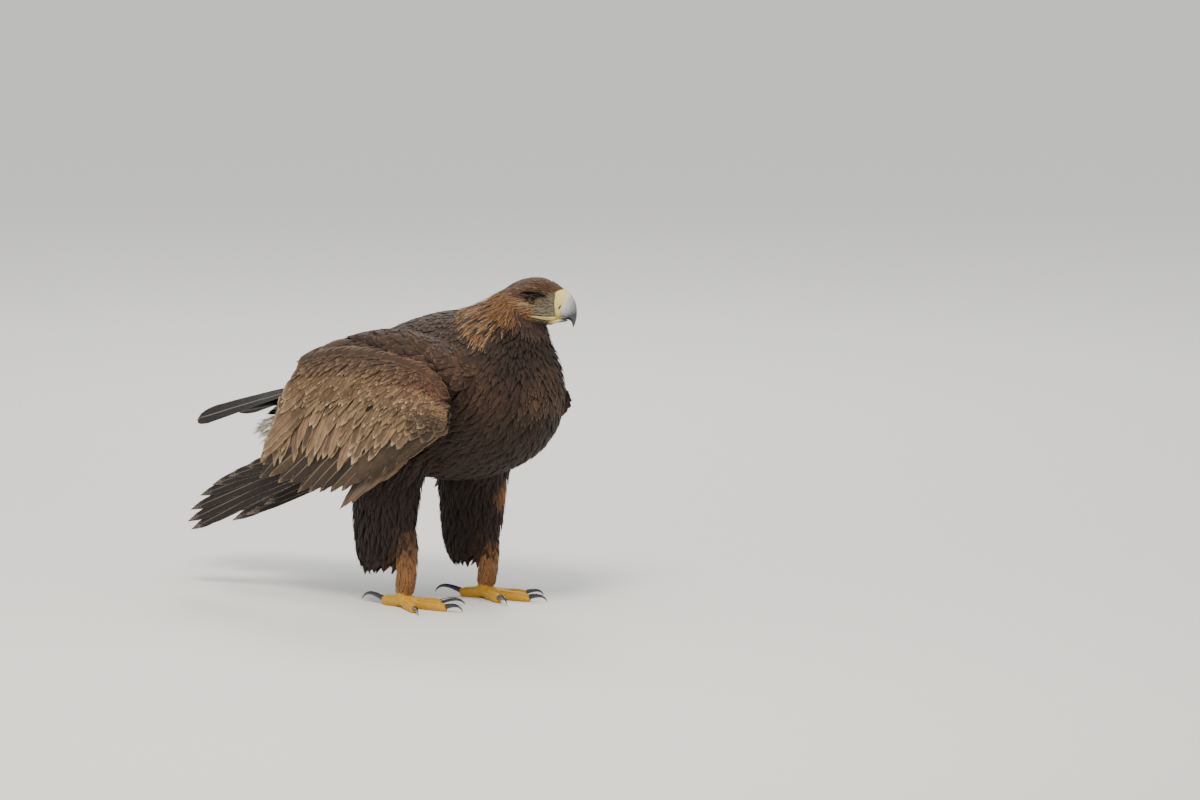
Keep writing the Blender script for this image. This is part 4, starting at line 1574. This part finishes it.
for side, place in (("right", None), ("left", left_foot)):
    for name, kind in TOES.items():
        scute_row(f"scutes_{side}_{name}", kind, place)
    bodies = [loft_of(limb, ANKLE_ROWS, 8, 32, [2, 0.5], -0.3, place)]
    for kind in TOES.values():
        bodies.append(loft_of(limb, toe_rows(kind), 40, 28, [2, 4], 0.0, place, side=across_toe(kind)))
    foot = fused(f"foot_{side}_skin", bodies, 1.4, 2)
    p = points_of(foot)
    p[:, 2] = np.maximum(p[:, 2], 0)
    move_to(foot, p)
    tinted(foot, np.ones((len(p), 3)))
    settled(foot, toe_skin, "toe_skin", f"foot_{side}")
    for name, kind in TOES.items():
        body = loft_of(limb, claw_rows(kind), 40, 24, [1, 1], 0.0, place, side=across_toe(kind))
        one = mesh_object(f"talon_{side}_{name}", *body)
        tinted(one, np.tile(linear("#26262a"), (len(one.data.vertices), 1)))
        settled(one, claw_horn, "claw_horn", f"claw_{side}_{name}")

# Floor, light and camera
bpy.ops.mesh.primitive_plane_add(size=60)
floor = bpy.context.object
floor.name = "studio_floor"
# Backdrop paper: plain, pale and matt
paper, tree = blank("pale_paper")
sheet = add(tree, "ShaderNodeBsdfPrincipled", None, {"Base Color": rgba("#e6e4df"), "Roughness": 0.9})
add(tree, "ShaderNodeOutputMaterial", None, {"Surface": sheet})
floor.data.materials.append(paper)

world = bpy.data.worlds.new("soft_room")
bpy.context.scene.world = world
world.use_nodes = True
world.node_tree.nodes["Background"].inputs[0].default_value = rgba("#eef1f5")
world.node_tree.nodes["Background"].inputs[1].default_value = 0.75


def lamp(name, spot, aim, size, power, tint):
    """A round soft box in watts that looks at aim."""
    data = bpy.data.lights.new(name, "AREA")
    data.shape, data.size, data.energy = "DISK", size, power
    data.color = tuple(linear(tint))
    one = bpy.data.objects.new(name, data)
    one.location = spot
    one.rotation_euler = (Vector(aim) - Vector(spot)).to_track_quat("-Z", "Y").to_euler()
    bpy.context.scene.collection.objects.link(one)


lamp("key_light", (0.9, -2.0, 3.2), (0, 0, 0.3), 1.1, 120, "#fff4e4")
lamp("back_light", (-1.6, 2.6, 2.8), (0, 0, 0.35), 1.4, 60, "#ffffff")
broad = bpy.data.lights.new("ceiling_light", "SUN")
broad.energy, broad.angle = 1.1, math.radians(50)
ceiling = bpy.data.objects.new("ceiling_light", broad)
ceiling.rotation_euler = (math.radians(14), math.radians(8), 0)
bpy.context.scene.collection.objects.link(ceiling)

# The photo's angle from far off: degrees round and up, then the distance and the width shown, in metres
TURN, RISE, AWAY, SHOWN = 33, 8, 20.0, 1.967
turn, rise = math.radians(TURN), math.radians(RISE)
back = Vector((math.sin(turn) * math.cos(rise), -math.cos(turn) * math.cos(rise), math.sin(rise)))
aim = Vector((0.295, 0.190, 0.326))
lens = bpy.data.cameras.new("photo_view")
lens.sensor_width = 36
lens.lens = 36 * AWAY / SHOWN
lens.clip_end = 200
camera = bpy.data.objects.new("photo_view", lens)
camera.location = aim + back * AWAY
camera.rotation_euler = (-back).to_track_quat("-Z", "Y").to_euler()
bpy.context.scene.collection.objects.link(camera)
bpy.context.scene.camera = camera
